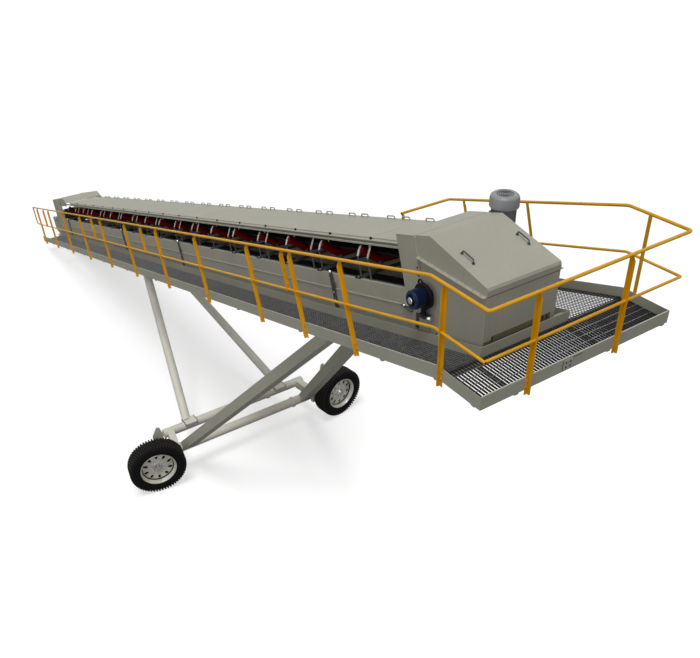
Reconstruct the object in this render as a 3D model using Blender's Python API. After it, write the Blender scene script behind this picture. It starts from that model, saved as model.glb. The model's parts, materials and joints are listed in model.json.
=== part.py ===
# Mobile covered belt conveyor with walkway, discharge hood and radial wheels
import math

import bmesh
import bpy
from mathutils import Matrix, Vector

# Driving dimensions in metres, world frame: +X to the discharge end, +Y to the drive side
INCLINE = math.radians(17.8)
BEND_X = 23.13
BEND_Z = 7.70
GAP = 0.0003
MOVE_GAP = 0.006

# Stations along the incline, measured from the bend of the deck
U_TAIL = -24.30
U_HEAD_COLUMN = -1.40
U_HOOD = -1.035
U_WALK_TAIL = -23.47
U_COVER = -21.12
U_FIRST_SEAM = -2.25
COVER_PITCH = 1.11

# Half widths and heights above the deck plane
STRINGER_Y = 0.60
STRINGER_TOP = 0.53
STRINGER_BOTTOM = -0.12
PLATE = 0.008
BODY_Y = 0.58
HOOD_TOP = 1.25
COVER_Y = 0.47
COVER_TOP = 1.12
COVER_T = 0.004
COVER_SKIRT = 0.045
SHAFT_R = 0.045
BEARING_Y = 0.66

# Belt and pulleys
BELT_WIDTH = 0.56
BELT_T = 0.012
BELT_LINE = 0.76
PULLEY_R = 0.25
HEAD_PULLEY_U = -0.93
TAIL_PULLEY_U = -23.45
IDLER_PITCH = 1.11
IDLER_FIRST = -2.53
IDLER_COUNT = 18
ROLLER_R = 0.06
WING = math.radians(38.0)

# Walkway and platform
WALK_OUT = -1.274
WALK_IN = -0.656
FAR_OUT = 1.80
FAR_IN = 0.796
PLATFORM_X = 23.84
TOE_X = 23.14
FASCIA_H = 0.173
FASCIA_T = 0.008
CHANNEL_T = 0.006
CHANNEL_TOP = 0.010
CHANNEL_LOW = -0.155
U_FAR_END = -3.40
GRATE_TOP = -0.13
GRATE_H = 0.028
GRATE_T = 0.006
GRATE_PITCH = 0.11
CROSS_DROP = 0.006
BEARER_TOP = GRATE_TOP - GRATE_H - CROSS_DROP - GAP
BEARER_H = 0.033
BEARER_HALF = 0.03

# Handrail
RAIL_TOP = 1.078
RAIL_MID = 0.478
RAIL_R = 0.021
MID_R = 0.018

# Undercarriage
WHEEL_X = 14.943
WHEEL_Y = 2.452
TYRE_R = 0.645
TYRE_W = 0.37
WHEEL_SIDES = 32
WHEEL_YAW = math.radians(9.36)
REAR_TUBE_X = 14.02
FRONT_TUBE_X = 14.70
TUBE_Z = 0.66
TUBE_R = 0.11
SPINDLE_R = 0.06

STEEL = "painted_steel"
YELLOW = "rail_yellow"
RED = "roller_red"
BLACK = "belt_rubber"
GALV = "galvanised"
BLUE = "backstop_blue"
GREY = "motor_grey"
TYRE = "tyre_rubber"
RIM = "wheel_steel"
COLOURS = {
    STEEL: (0.42, 0.41, 0.37, 1.0, 0.2, 0.5),
    YELLOW: (0.72, 0.36, 0.02, 1.0, 0.0, 0.45),
    RED: (0.25, 0.01, 0.01, 1.0, 0.0, 0.4),
    BLACK: (0.02, 0.02, 0.02, 1.0, 0.0, 0.6),
    GALV: (0.30, 0.30, 0.30, 1.0, 0.8, 0.5),
    BLUE: (0.01, 0.05, 0.20, 1.0, 0.0, 0.4),
    GREY: (0.30, 0.31, 0.32, 1.0, 0.0, 0.4),
    TYRE: (0.02, 0.02, 0.02, 1.0, 0.0, 0.8),
    RIM: (0.60, 0.60, 0.58, 1.0, 0.9, 0.3),
}

for old in list(bpy.data.objects):
    bpy.data.objects.remove(old, do_unlink=True)

MODEL = bpy.data.collections.new("belt_conveyor")
bpy.context.scene.collection.children.link(MODEL)

MATERIALS = {}
for key, (red, green, blue, alpha, metal, rough) in COLOURS.items():
    made = bpy.data.materials.new(key)
    made.use_nodes = True
    shader = made.node_tree.nodes["Principled BSDF"]
    shader.inputs["Base Color"].default_value = (red, green, blue, alpha)
    shader.inputs["Metallic"].default_value = metal
    shader.inputs["Roughness"].default_value = rough
    MATERIALS[key] = made

SLOPE = Matrix(
    (
        (math.cos(INCLINE), 0.0, -math.sin(INCLINE), BEND_X),
        (0.0, 1.0, 0.0, 0.0),
        (math.sin(INCLINE), 0.0, math.cos(INCLINE), BEND_Z),
        (0.0, 0.0, 0.0, 1.0),
    )
)
LEVEL = Matrix.Identity(4)


def on_slope(u, y, n):
    return SLOPE @ Vector((u, y, n))


def finished(work):
    bmesh.ops.recalc_face_normals(work, faces=work.faces)
    mesh = bpy.data.meshes.new("piece")
    work.to_mesh(mesh)
    work.free()
    return mesh


def box(a0, a1, b0, b1, c0, c1, frame=LEVEL):
    work = bmesh.new()
    middle = Matrix.Translation(((a0 + a1) / 2.0, (b0 + b1) / 2.0, (c0 + c1) / 2.0))
    size = Matrix.Diagonal((a1 - a0, b1 - b0, c1 - c0, 1.0))
    bmesh.ops.create_cube(work, size=1.0, matrix=frame @ middle @ size)
    return finished(work)


# An outline drawn in two of the frame's axes and extruded along the third
PLANES = {
    "ac": lambda first, second, depth: Vector((first, depth, second)),
    "bc": lambda first, second, depth: Vector((depth, first, second)),
    "ab": lambda first, second, depth: Vector((first, second, depth)),
}


def prism(outline, start, end, frame=LEVEL, plane="ac"):
    spot = PLANES[plane]
    work = bmesh.new()
    face = work.faces.new([work.verts.new(frame @ spot(p, q, start)) for p, q in outline])
    grown = bmesh.ops.extrude_face_region(work, geom=[face])
    moved = [v for v in grown["geom"] if isinstance(v, bmesh.types.BMVert)]
    shift = frame @ spot(0.0, 0.0, end) - frame @ spot(0.0, 0.0, start)
    bmesh.ops.translate(work, verts=moved, vec=shift)
    return finished(work)


def rod(start, end, radius, sides=16):
    start = Vector(start)
    end = Vector(end)
    turn = (end - start).to_track_quat("Z", "X").to_matrix().to_4x4()
    half_turn = Matrix.Rotation(math.pi / sides, 4, "Z")
    work = bmesh.new()
    bmesh.ops.create_cone(
        work, cap_ends=True, segments=sides, radius1=radius, radius2=radius,
        depth=(end - start).length, matrix=Matrix.Translation((start + end) / 2.0) @ turn @ half_turn,
    )
    return finished(work)


def spun(profile, start, along, sides=48):
    work = bmesh.new()
    verts = [work.verts.new((radius, 0.0, height)) for radius, height in profile]
    edges = [work.edges.new((verts[i - 1], verts[i])) for i in range(len(verts))]
    bmesh.ops.spin(
        work, geom=verts + edges, cent=(0.0, 0.0, 0.0), axis=(0.0, 0.0, 1.0),
        angle=2.0 * math.pi, steps=sides, use_merge=True,
    )
    turn = Vector(along).to_track_quat("Z", "Y").to_matrix().to_4x4()
    bmesh.ops.transform(work, matrix=Matrix.Translation(Vector(start)) @ turn, verts=work.verts)
    return finished(work)


def swept(path, radius, resolution=4):
    curve = bpy.data.curves.new("path", "CURVE")
    curve.dimensions = "3D"
    curve.bevel_depth = radius
    curve.bevel_resolution = resolution
    curve.use_fill_caps = True
    spline = curve.splines.new("POLY")
    spline.points.add(len(path) - 1)
    for spot, point in zip(spline.points, path):
        spot.co = (point[0], point[1], point[2], 1.0)
    guide = bpy.data.objects.new("path", curve)
    bpy.context.scene.collection.objects.link(guide)
    bpy.context.view_layer.update()
    graph = bpy.context.evaluated_depsgraph_get()
    tube = bpy.data.meshes.new_from_object(guide.evaluated_get(graph))
    bpy.data.objects.remove(guide, do_unlink=True)
    work = bmesh.new()
    work.from_mesh(tube)
    bmesh.ops.remove_doubles(work, verts=work.verts, dist=1e-5)
    return finished(work)


# Faces between the corner points of a loft
def mesh_of(points, faces):
    work = bmesh.new()
    verts = [work.verts.new(point) for point in points]
    for corners in faces:
        work.faces.new([verts[i] for i in corners])
    return finished(work)


def place(mesh, name, collection, material=None):
    obj = bpy.data.objects.new(name, mesh)
    collection.objects.link(obj)
    if material is not None:
        mesh.materials.clear()
        mesh.materials.append(MATERIALS[material])
    return obj


def combine(pieces, cuts=()):
    group = bpy.data.collections.new("work")
    bpy.context.scene.collection.children.link(group)
    base = place(pieces[0], "work_base", bpy.context.scene.collection)
    extra = [place(mesh, "work_piece", group) for mesh in pieces[1:]]
    holes = bpy.data.collections.new("holes")
    bpy.context.scene.collection.children.link(holes)
    drills = [place(mesh, "work_hole", holes) for mesh in cuts]
    if extra:
        join = base.modifiers.new("join", "BOOLEAN")
        join.operation = "UNION"
        join.solver = "EXACT"
        join.operand_type = "COLLECTION"
        join.collection = group
        join.use_self = True
    if drills:
        cut = base.modifiers.new("cut", "BOOLEAN")
        cut.operation = "DIFFERENCE"
        cut.solver = "EXACT"
        cut.operand_type = "COLLECTION"
        cut.collection = holes
    bpy.context.view_layer.update()
    graph = bpy.context.evaluated_depsgraph_get()
    result = bpy.data.meshes.new_from_object(base.evaluated_get(graph))
    for obj in [base] + extra + drills:
        bpy.data.objects.remove(obj, do_unlink=True)
    bpy.data.collections.remove(group)
    bpy.data.collections.remove(holes)
    work = bmesh.new()
    work.from_mesh(result)
    bmesh.ops.remove_doubles(work, verts=work.verts, dist=1e-5)
    bmesh.ops.dissolve_limit(
        work, angle_limit=math.radians(0.2), verts=work.verts, edges=work.edges
    )
    bmesh.ops.triangulate(work, faces=work.faces)
    work.to_mesh(result)
    work.free()
    return result


def node(name, pieces, material, cuts=(), origin=None):
    if len(pieces) == 1 and not cuts:
        mesh = pieces[0]
    else:
        mesh = combine(pieces, cuts)
    obj = place(mesh, name, MODEL, material)
    if origin is not None:
        mesh.transform(Matrix.Translation(-Vector(origin)))
        obj.location = Vector(origin)
    return obj


SIDES = (("near", -1.0), ("far", 1.0))
PULLEY_N = BELT_LINE - PULLEY_R - GAP

# Stringers joined by the bottom pan and the cross beams
U_FRAME_HEAD = U_HOOD
REAR_LEG_U = -14.85
FRONT_LEG_U = -2.95
U_FOOT_BEAM = (-23.83, -23.25)
FRAME = []
for side, sign in SIDES:
    y0 = sign * STRINGER_Y
    y1 = sign * (STRINGER_Y - PLATE)
    web = [
        (U_TAIL, 0.05),
        (U_TAIL, STRINGER_TOP),
        (U_FRAME_HEAD, STRINGER_TOP),
        (U_FRAME_HEAD, STRINGER_BOTTOM),
        (U_TAIL + 0.55, STRINGER_BOTTOM),
    ]
    FRAME.append(prism(web, min(y0, y1), max(y0, y1), SLOPE))
    inner = sign * (STRINGER_Y - 0.07)
    FRAME.append(
        box(U_TAIL + 0.001, U_FRAME_HEAD - 0.001, min(y0, inner), max(y0, inner),
            STRINGER_TOP - PLATE, STRINGER_TOP, SLOPE)
    )
    outer = sign * (STRINGER_Y + 0.04)
    FRAME.append(
        box(U_TAIL + 0.6, U_FRAME_HEAD - 0.001, min(y0, outer), max(y0, outer),
            STRINGER_BOTTOM, STRINGER_BOTTOM + PLATE, SLOPE)
    )
    for level in (0.29, 0.05):
        rib = sign * (STRINGER_Y + 0.012)
        FRAME.append(
            box(U_TAIL + 0.1, U_FRAME_HEAD - 0.002, min(y1, rib), max(y1, rib),
                level, level + 0.014, SLOPE)
        )
FRAME.append(
    box(U_TAIL + 0.7, U_FRAME_HEAD - 0.35, -STRINGER_Y + 0.002, STRINGER_Y - 0.002,
        STRINGER_BOTTOM + 0.04, STRINGER_BOTTOM + 0.046, SLOPE)
)
for u in (REAR_LEG_U, FRONT_LEG_U):
    FRAME.append(
        box(u - 0.22, u + 0.22, -STRINGER_Y + 0.001, STRINGER_Y - 0.001,
            STRINGER_BOTTOM - 0.10, STRINGER_BOTTOM + 0.042, SLOPE)
    )
FRAME.append(
    box(U_FOOT_BEAM[0], U_FOOT_BEAM[1], -STRINGER_Y + 0.001, STRINGER_Y - 0.001,
        STRINGER_BOTTOM, STRINGER_BOTTOM + 0.09, SLOPE)
)
for side, sign in SIDES:
    angle = [
        (sign * 0.454, 1.02),
        (sign * 0.512, 1.02),
        (sign * 0.512, 1.026),
        (sign * 0.460, 1.026),
        (sign * 0.460, COVER_TOP - COVER_T - GAP),
        (sign * 0.454, COVER_TOP - COVER_T - GAP),
    ]
    FRAME.append(prism(angle, U_COVER, U_HEAD_COLUMN - GAP, SLOPE, plane="bc"))
STRUT_U = [-2.25, -3.87, -5.49, -7.16, -8.82, -9.92, -11.60, -13.20, -14.90, -16.50, -18.50, -19.80]
for u in STRUT_U:
    for side, sign in SIDES:
        foot = sign * (STRINGER_Y - 0.035)
        lean = [
            (foot, STRINGER_TOP - 0.004),
            (foot + sign * 0.006, STRINGER_TOP - 0.004),
            (foot + sign * 0.006, 0.852),
            (sign * (COVER_Y + 0.006), COVER_TOP - 0.096),
            (sign * COVER_Y, COVER_TOP - 0.096),
            (foot, 0.848),
        ]
        FRAME.append(prism(lean, u - 0.02, u + 0.02, SLOPE, plane="bc"))
tail_shaft = on_slope(TAIL_PULLEY_U, 0.0, PULLEY_N)
side_way = Vector((0.0, 1.0, 0.0))
SHAFT_CUT = rod(tail_shaft - side_way, tail_shaft + side_way, SHAFT_R + GAP, 16)
node("main_frame", FRAME, STEEL, cuts=[SHAFT_CUT.copy()])

# Troughing idlers with their frames on two long mounting strips
IDLERS = []
strip_low = STRINGER_TOP + GAP
strip_high = STRINGER_TOP + 0.010
for side, sign in SIDES:
    a = sign * (STRINGER_Y - 0.075)
    b = sign * (STRINGER_Y - 0.042)
    IDLERS.append(
        box(U_TAIL + 1.6, U_HEAD_COLUMN - 0.02, min(a, b), max(a, b), strip_low, strip_high, SLOPE)
    )
flat = 0.175
start_y = flat + ROLLER_R * math.sin(WING)
start_n = BELT_LINE - ROLLER_R * math.cos(WING)
wing_y = math.cos(WING)
wing_n = math.sin(WING)
for i in range(IDLER_COUNT):
    u = IDLER_FIRST - IDLER_PITCH * i
    IDLERS.append(
        box(u - 0.025, u + 0.025, -STRINGER_Y + 0.045, STRINGER_Y - 0.045,
            strip_low + 0.002, strip_high + 0.04, SLOPE)
    )
    low = on_slope(u, -flat - 0.004, BELT_LINE - ROLLER_R - GAP)
    high = on_slope(u, flat + 0.004, BELT_LINE - ROLLER_R - GAP)
    IDLERS.append(rod(low, high, ROLLER_R, 8))
    for side, sign in SIDES:
        a = -0.01
        b = 0.375
        inside = on_slope(u, sign * (start_y + a * wing_y), start_n + a * wing_n - GAP)
        outside = on_slope(u, sign * (start_y + b * wing_y), start_n + b * wing_n - GAP)
        IDLERS.append(rod(inside, outside, ROLLER_R, 8))
        y_end = start_y + (b - 0.003) * wing_y
        n_end = start_n + (b - 0.003) * wing_n
        plate = [
            (sign * (STRINGER_Y - 0.054), strip_low + 0.003),
            (sign * (STRINGER_Y - 0.046), strip_low + 0.003),
            (sign * (STRINGER_Y - 0.046), STRINGER_TOP + 0.34),
            (sign * (y_end + 0.008 - 0.055 * wing_n), n_end + 0.055 * wing_y + 0.004),
            (sign * (y_end - 0.055 * wing_n), n_end + 0.055 * wing_y),
            (sign * (y_end + 0.02 * wing_n), n_end - 0.02 * wing_y),
            (sign * (STRINGER_Y - 0.054), STRINGER_TOP + 0.32),
        ]
        IDLERS.append(prism(plate, u - 0.021, u + 0.021, SLOPE, plane="bc"))
node("idler_sets", IDLERS, RED)

# Belt as one fixed loop
half = BELT_WIDTH / 2.0


def belt_ring(u, n, du, dn, trough):
    ring = []
    for inner in (0.0, BELT_T):
        line = []
        rise = trough * math.sin(WING)
        run = (half - flat) * (1.0 - trough * (1.0 - math.cos(WING)))
        spots = [
            (-flat - run, (half - flat) * rise),
            (-flat, 0.0),
            (flat, 0.0),
            (flat + run, (half - flat) * rise),
        ]
        for y, lift in spots:
            line.append((u + du * (inner + lift), y, n + dn * (inner + lift)))
        if inner > 0.0:
            line.reverse()
        ring.extend(line)
    return [on_slope(*p) for p in ring]


RINGS = []
for k in range(13):
    angle = math.pi / 2.0 - math.pi * k / 12.0
    du = math.cos(angle)
    dn = math.sin(angle)
    radius = (PULLEY_R + GAP) / math.cos(math.pi / 24.0)
    RINGS.append(belt_ring(HEAD_PULLEY_U + radius * du, PULLEY_N + radius * dn, du, dn, 0.0))
for k in range(13):
    angle = -math.pi / 2.0 - math.pi * k / 12.0
    du = math.cos(angle)
    dn = math.sin(angle)
    radius = (PULLEY_R + GAP) / math.cos(math.pi / 24.0)
    RINGS.append(belt_ring(TAIL_PULLEY_U + radius * du, PULLEY_N + radius * dn, du, dn, 0.0))
last = IDLER_FIRST - IDLER_PITCH * (IDLER_COUNT - 1)
RINGS.append(belt_ring(last - 0.4, BELT_LINE, 0.0, 1.0, 1.0))
RINGS.append(belt_ring(IDLER_FIRST + 0.3, BELT_LINE, 0.0, 1.0, 1.0))
count = len(RINGS)
size = 8
points = [p for ring in RINGS for p in ring]
faces = []
for i in range(count):
    j = (i + 1) % count
    for k in range(size):
        m = (k + 1) % size
        faces.append((i * size + k, i * size + m, j * size + m, j * size + k))
node("belt", [mesh_of(points, faces)], BLACK)

# Pulleys with their shafts
for name, u, reach in (("head_pulley", HEAD_PULLEY_U, 0.62), ("tail_pulley", TAIL_PULLEY_U, 0.70)):
    PULLEY = [
        rod(on_slope(u, -0.40, PULLEY_N), on_slope(u, 0.40, PULLEY_N), PULLEY_R, 24),
        rod(on_slope(u, -reach, PULLEY_N), on_slope(u, reach, PULLEY_N), SHAFT_R, 16),
    ]
    if name == "tail_pulley":
        for side, sign in SIDES:
            inner = sign * (STRINGER_Y + GAP)
            outer = sign * BEARING_Y
            PULLEY.append(
                box(u - 0.10, u + 0.10, min(inner, outer), max(inner, outer),
                    PULLEY_N - 0.06, PULLEY_N + 0.07, SLOPE)
            )
    node(name, PULLEY, STEEL)

# Tail housing with take-up plates
ROOF = [
    (-23.35, 1.20),
    (-21.45, 1.28),
    (U_COVER - 0.02, 1.13),
]
low = STRINGER_TOP + GAP
shell = [(-23.35, low)] + ROOF + [(U_COVER - 0.02, 1.02), (-22.0, 1.00), (-22.0, low)]
hollow = [
    (-23.36, low - 0.1),
    (-23.36, 1.194),
    (-21.452, 1.274),
    (U_COVER - 0.03, 1.124),
    (U_COVER - 0.01, 1.124),
    (U_COVER - 0.01, low - 0.1),
]
slot = box(-23.30, -23.05, -0.30, 0.45, 1.0, 1.4, SLOPE)
node(
    "tail_housing",
    [
        prism(shell, -STRINGER_Y, STRINGER_Y, SLOPE),
        box(-23.40, -22.0, -STRINGER_Y, -STRINGER_Y + 0.05, low, low + 0.006, SLOPE),
    ],
    STEEL,
    cuts=[prism(hollow, -STRINGER_Y + 0.006, STRINGER_Y - 0.006, SLOPE), slot, SHAFT_CUT.copy()],
)

# Tail foot that the conveyor turns about
node(
    "tail_foot",
    [
        box(-0.25, 1.35, -0.55, 0.55, 0.0, 0.02),
        prism([(0.45, 0.01), (1.05, 0.01), (0.95, 0.9), (0.55, 0.9)], -0.55, -0.45),
        prism([(0.45, 0.01), (1.05, 0.01), (0.95, 0.9), (0.55, 0.9)], 0.45, 0.55),
        box(0.60, 0.90, -0.5, 0.5, 0.10, 0.22),
    ],
    STEEL,
    cuts=[box(U_TAIL, 5.0, -2.0, 2.0, STRINGER_BOTTOM - GAP, 3.0, SLOPE)],
)

# Head column frame and the discharge box
def xz(u, n):
    point = on_slope(u, 0.0, n)
    return (point.x, point.z)


COLUMN = []
for side, sign in SIDES:
    channel = [
        (U_HEAD_COLUMN, sign * (BODY_Y + 0.02)),
        (U_HOOD, sign * (BODY_Y + 0.02)),
        (U_HOOD, sign * (BODY_Y + 0.012)),
        (U_HEAD_COLUMN + 0.008, sign * (BODY_Y + 0.012)),
        (U_HEAD_COLUMN + 0.008, sign * (BODY_Y - 0.06)),
        (U_HEAD_COLUMN, sign * (BODY_Y - 0.06)),
    ]
    COLUMN.append(prism(channel, STRINGER_TOP + GAP, HOOD_TOP - 0.002, SLOPE, plane="ab"))
COLUMN.append(
    box(U_HEAD_COLUMN - 0.002, U_HOOD + 0.002, -BODY_Y - 0.022, BODY_Y + 0.022,
        HOOD_TOP - 0.008, HOOD_TOP, SLOPE)
)
node("head_column", COLUMN, STEEL)

BOX_TOP = 8.325
BOX_FRONT = 23.09
BOX_LOW = 7.42
FLANGE_W = 0.04
FLANGE_T = 0.008
SEAM_W = 0.055
rear_low = xz(U_HOOD + GAP, STRINGER_BOTTOM)
rear_high_u = -1.035 + GAP
top_n = (BOX_TOP - BEND_Z - rear_high_u * math.sin(INCLINE)) / math.cos(INCLINE)
rear_high = xz(rear_high_u, top_n)
wall = [rear_low, rear_high, (BOX_FRONT, BOX_TOP), (BOX_FRONT, BOX_LOW), (rear_low[0] + 0.08, BOX_LOW)]
inner_wall = [
    (rear_low[0] - 0.5, rear_low[1] + 0.12),
    (rear_high[0] - 0.5, BOX_TOP + 0.2),
    (BOX_FRONT - 0.006, BOX_TOP + 0.2),
    (BOX_FRONT - 0.006, BOX_LOW - 0.1),
    (rear_low[0] + 0.12, BOX_LOW - 0.1),
]
BOX = [prism(wall, -BODY_Y, BODY_Y)]
for side, sign in SIDES:
    inner = sign * (BODY_Y - 0.05)
    outer = sign * (BODY_Y + 0.02)
    BOX.append(
        box(U_HOOD + GAP, U_HOOD + 0.010, min(inner, outer), max(inner, outer),
            STRINGER_BOTTOM + 0.01, STRINGER_TOP + 0.35, SLOPE)
    )
for sign, start in ((-1.0, rear_high[0] + 0.01), (1.0, rear_high[0] + 0.25)):
    inner = sign * (BODY_Y - 0.002)
    outer = sign * (BODY_Y + SEAM_W)
    BOX.append(
        box(start, BOX_FRONT - 0.002, min(inner, outer), max(inner, outer), BOX_TOP - 0.006, BOX_TOP)
    )
BOX += [
    box(rear_low[0] + 0.12, BOX_FRONT + FLANGE_W, -BODY_Y - FLANGE_W, BODY_Y + FLANGE_W,
        BOX_LOW - FLANGE_T, BOX_LOW + 0.001),
]
shaft_at = on_slope(HEAD_PULLEY_U, 0.0, PULLEY_N)
node(
    "discharge_box",
    BOX,
    STEEL,
    cuts=[
        prism(inner_wall, -BODY_Y + 0.006, BODY_Y - 0.006),
        rod(shaft_at + Vector((0.0, -1.0, 0.0)), shaft_at + Vector((0.0, 1.0, 0.0)), 0.052, 24),
    ],
)

# Hinged hood over the discharge box
U_HINGE = U_HOOD + 0.024
hood_hinge = on_slope(U_HINGE, 0.0, HOOD_TOP - 0.010)
lid_low = BOX_TOP + GAP
U_LID = U_HINGE - 0.008
rear_x = xz(U_LID, (lid_low - BEND_Z - U_LID * math.sin(INCLINE)) / math.cos(INCLINE))[0]
hood_outer = [
    (rear_x, lid_low),
    xz(U_LID, HOOD_TOP),
    (22.05, 8.673),
    (23.08, 8.435),
    (23.095, 8.40),
    (23.095, lid_low),
]
hood_inner = [
    (rear_x - 0.5, lid_low - 0.1),
    (rear_x - 0.5, lid_low + 0.03),
    (rear_x + 0.01, lid_low + 0.03),
    xz(U_LID + 0.006, HOOD_TOP - 0.008),
    (22.05, 8.666),
    (23.075, 8.429),
    (23.089, 8.397),
    (23.089, lid_low - 0.1),
]
handle_parts = []
for y in (-0.437, 0.437):
    mid = Vector((22.575, y, 8.5517))
    slope_dir = Vector((1.03, 0.0, -0.238)).normalized()
    lift = Vector((0.238, 0.0, 1.03)).normalized()
    ends = (mid - slope_dir * 0.105, mid + slope_dir * 0.105)
    handle_parts.append(
        swept(
            [ends[0] - lift * 0.008, ends[0] + lift * 0.045, ends[1] + lift * 0.045, ends[1] - lift * 0.008],
            0.007,
            1,
        )
    )
hood_shell = combine(
    [prism(hood_outer, -BODY_Y, BODY_Y)],
    [prism(hood_inner, -BODY_Y + 0.006, BODY_Y - 0.006)],
)
node("hood_lid", [hood_shell] + handle_parts, STEEL, origin=hood_hinge)

# Hinged cover panels, each with a pair of bow handles near its far edge
HANDLE_AT = (-0.19, 0.19)
HANDLE_AT_FIRST = (-0.21,)
HANDLE_HALF = 0.095
HANDLE_Y = COVER_Y - 0.055
HANDLE_H = 0.045
seams =[U_HEAD_COLUMN - 0.002] + [U_FIRST_SEAM - COVER_PITCH * k for k in range(18)]
COVER_PROFILE = [
    (-COVER_Y, COVER_TOP),
    (-COVER_Y, COVER_TOP - COVER_SKIRT),
    (-COVER_Y + COVER_T, COVER_TOP - COVER_SKIRT),
    (-COVER_Y + COVER_T, COVER_TOP - COVER_T),
    (COVER_Y - COVER_T, COVER_TOP - COVER_T),
    (COVER_Y - COVER_T, COVER_TOP - COVER_SKIRT),
    (COVER_Y, COVER_TOP - COVER_SKIRT),
    (COVER_Y, COVER_TOP),
]
for k in range(18):
    head = seams[k] - MOVE_GAP / 2.0
    tail = seams[k + 1] + MOVE_GAP / 2.0
    if k == 0:
        head = seams[0] - MOVE_GAP
    parts = [prism(COVER_PROFILE, tail, head, SLOPE, plane="bc")]
    middle = (tail + head) / 2.0
    for offset in (HANDLE_AT if k > 0 else HANDLE_AT_FIRST):
        u = middle + offset
        path = [
            on_slope(u - HANDLE_HALF, HANDLE_Y, COVER_TOP - 0.002),
            on_slope(u - HANDLE_HALF, HANDLE_Y, COVER_TOP + HANDLE_H),
            on_slope(u + HANDLE_HALF, HANDLE_Y, COVER_TOP + HANDLE_H),
            on_slope(u + HANDLE_HALF, HANDLE_Y, COVER_TOP - 0.002),
        ]
        parts.append(swept(path, 0.008, 0))
    hinge = on_slope(middle, -COVER_Y - 0.008, COVER_TOP - COVER_SKIRT - 0.003)
    node("cover_%02d" % (k + 1), parts, STEEL, origin=hinge)

# Far side sheet that closes the drive side
sheet_a = 0.5722
far_profile = [
    (sheet_a, STRINGER_TOP + GAP),
    (sheet_a, 0.8525),
    (0.4805, 1.0190),
    (0.4855, 1.0190),
    (sheet_a + 0.005, 0.8540),
    (sheet_a + 0.005, STRINGER_TOP + GAP),
]
node("far_side_sheet", [prism(far_profile, U_COVER, U_HEAD_COLUMN - 0.004, SLOPE, plane="bc")], STEEL)

# Backstop on the near end of the head shaft; both seats clear the frame's head end
SEAT_R = 0.09
MOTOR_X = 21.86
MOTOR_Y = 0.79
MOTOR_LOW = 8.24
MOTOR_R = 0.165
COWL_R = 0.195
near = Vector((0.0, -1.0, 0.0))
BACKSTOP = [
    rod(shaft_at + near * (BODY_Y + GAP), shaft_at + near * 0.640, SEAT_R, 24),
    rod(shaft_at + near * 0.630, shaft_at + near * 0.690, 0.17, 24),
    rod(shaft_at + near * 0.68, shaft_at + near * 0.86, 0.125, 24),
    rod(shaft_at + near * 0.85, shaft_at + near * 0.885, 0.055, 24),
    box(shaft_at.x - 0.03, shaft_at.x + 0.03, -0.675, -0.64, shaft_at.z - 0.27, shaft_at.z),
]
node("backstop", BACKSTOP, BLUE, cuts=[rod(shaft_at + near * 0.63, shaft_at - near * 0.65, SHAFT_R + GAP, 16)])

# Gearbox and vertical motor on the far side
GEAR = [
    rod(shaft_at - near * (BODY_Y + GAP), shaft_at - near * 0.67, SEAT_R, 20),
    box(shaft_at.x - 0.22, shaft_at.x + 0.24, 0.635, 0.90, shaft_at.z - 0.22, shaft_at.z + 0.24),
    rod((MOTOR_X, MOTOR_Y, shaft_at.z + 0.10), (MOTOR_X, MOTOR_Y, MOTOR_LOW), MOTOR_R + 0.005, 24),
]
node("gearbox", GEAR, GREY, cuts=[rod(shaft_at - near * 0.30, shaft_at - near * 0.65, SHAFT_R + GAP, 16)])
motor_low = MOTOR_LOW + GAP
node(
    "motor",
    [
        rod((MOTOR_X, MOTOR_Y, motor_low), (MOTOR_X, MOTOR_Y, motor_low + 0.42), MOTOR_R, 24),
        rod((MOTOR_X, MOTOR_Y, motor_low + 0.40), (MOTOR_X, MOTOR_Y, motor_low + 0.58), COWL_R, 24),
    ],
    GREY,
)

# Walkways: an outer edge plate, an inner toe board, and bearers that reach the stringer
MITRE = math.tan(INCLINE / 2.0)
MITRE_GAP = 0.0004
WALK_LOW = -FASCIA_H
FRAME_GAP = STRINGER_Y + GAP
UPRIGHT_T = 0.010
LUG_TOP = -0.04
LUG_LOW = -0.10
deck = BEND_Z
LOW_Z = deck - FASCIA_H
NEAR_BEARERS = [-0.10, -1.20] + [-3.39 - 2.31 * k for k in range(9)] + [-23.30]
FAR_BEARERS = [-0.10, -1.20, -2.30, -3.35]
PLATFORM_BEAM_X = (TOE_X - 0.005, PLATFORM_X - 0.16)
PLATFORM_BEAM_W = 0.06
PLATFORM_RIB_Y = (-0.77, 0.71, 1.69)


# Slope station of a board's upright end at the toe plate
def toe_end(n):
    return (TOE_X - GAP - BEND_X + n * math.sin(INCLINE)) / math.cos(INCLINE)


def edge_plate(u0, y0):
    outline = [
        (u0, 0.0),
        (-MITRE_GAP, 0.0),
        (-FASCIA_H * MITRE - MITRE_GAP, WALK_LOW),
        (u0, WALK_LOW),
    ]
    return prism(outline, y0, y0 + FASCIA_T, SLOPE)


def toe_board(u0, y0):
    outline = [
        (u0, CHANNEL_TOP),
        (toe_end(CHANNEL_TOP), CHANNEL_TOP),
        (toe_end(CHANNEL_LOW), CHANNEL_LOW),
        (u0, CHANNEL_LOW),
    ]
    return prism(outline, y0, y0 + CHANNEL_T, SLOPE)


def bearer(u, sign, outer, board):
    upright = board - sign * UPRIGHT_T
    outline = [
        (outer, BEARER_TOP - BEARER_H),
        (upright, BEARER_TOP - BEARER_H),
        (upright, LUG_LOW),
        (sign * FRAME_GAP, LUG_LOW),
        (sign * FRAME_GAP, LUG_TOP),
        (board, LUG_TOP),
        (board, BEARER_TOP),
        (outer, BEARER_TOP),
    ]
    return prism(outline, u - BEARER_HALF, u + BEARER_HALF, SLOPE, plane="bc")


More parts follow.
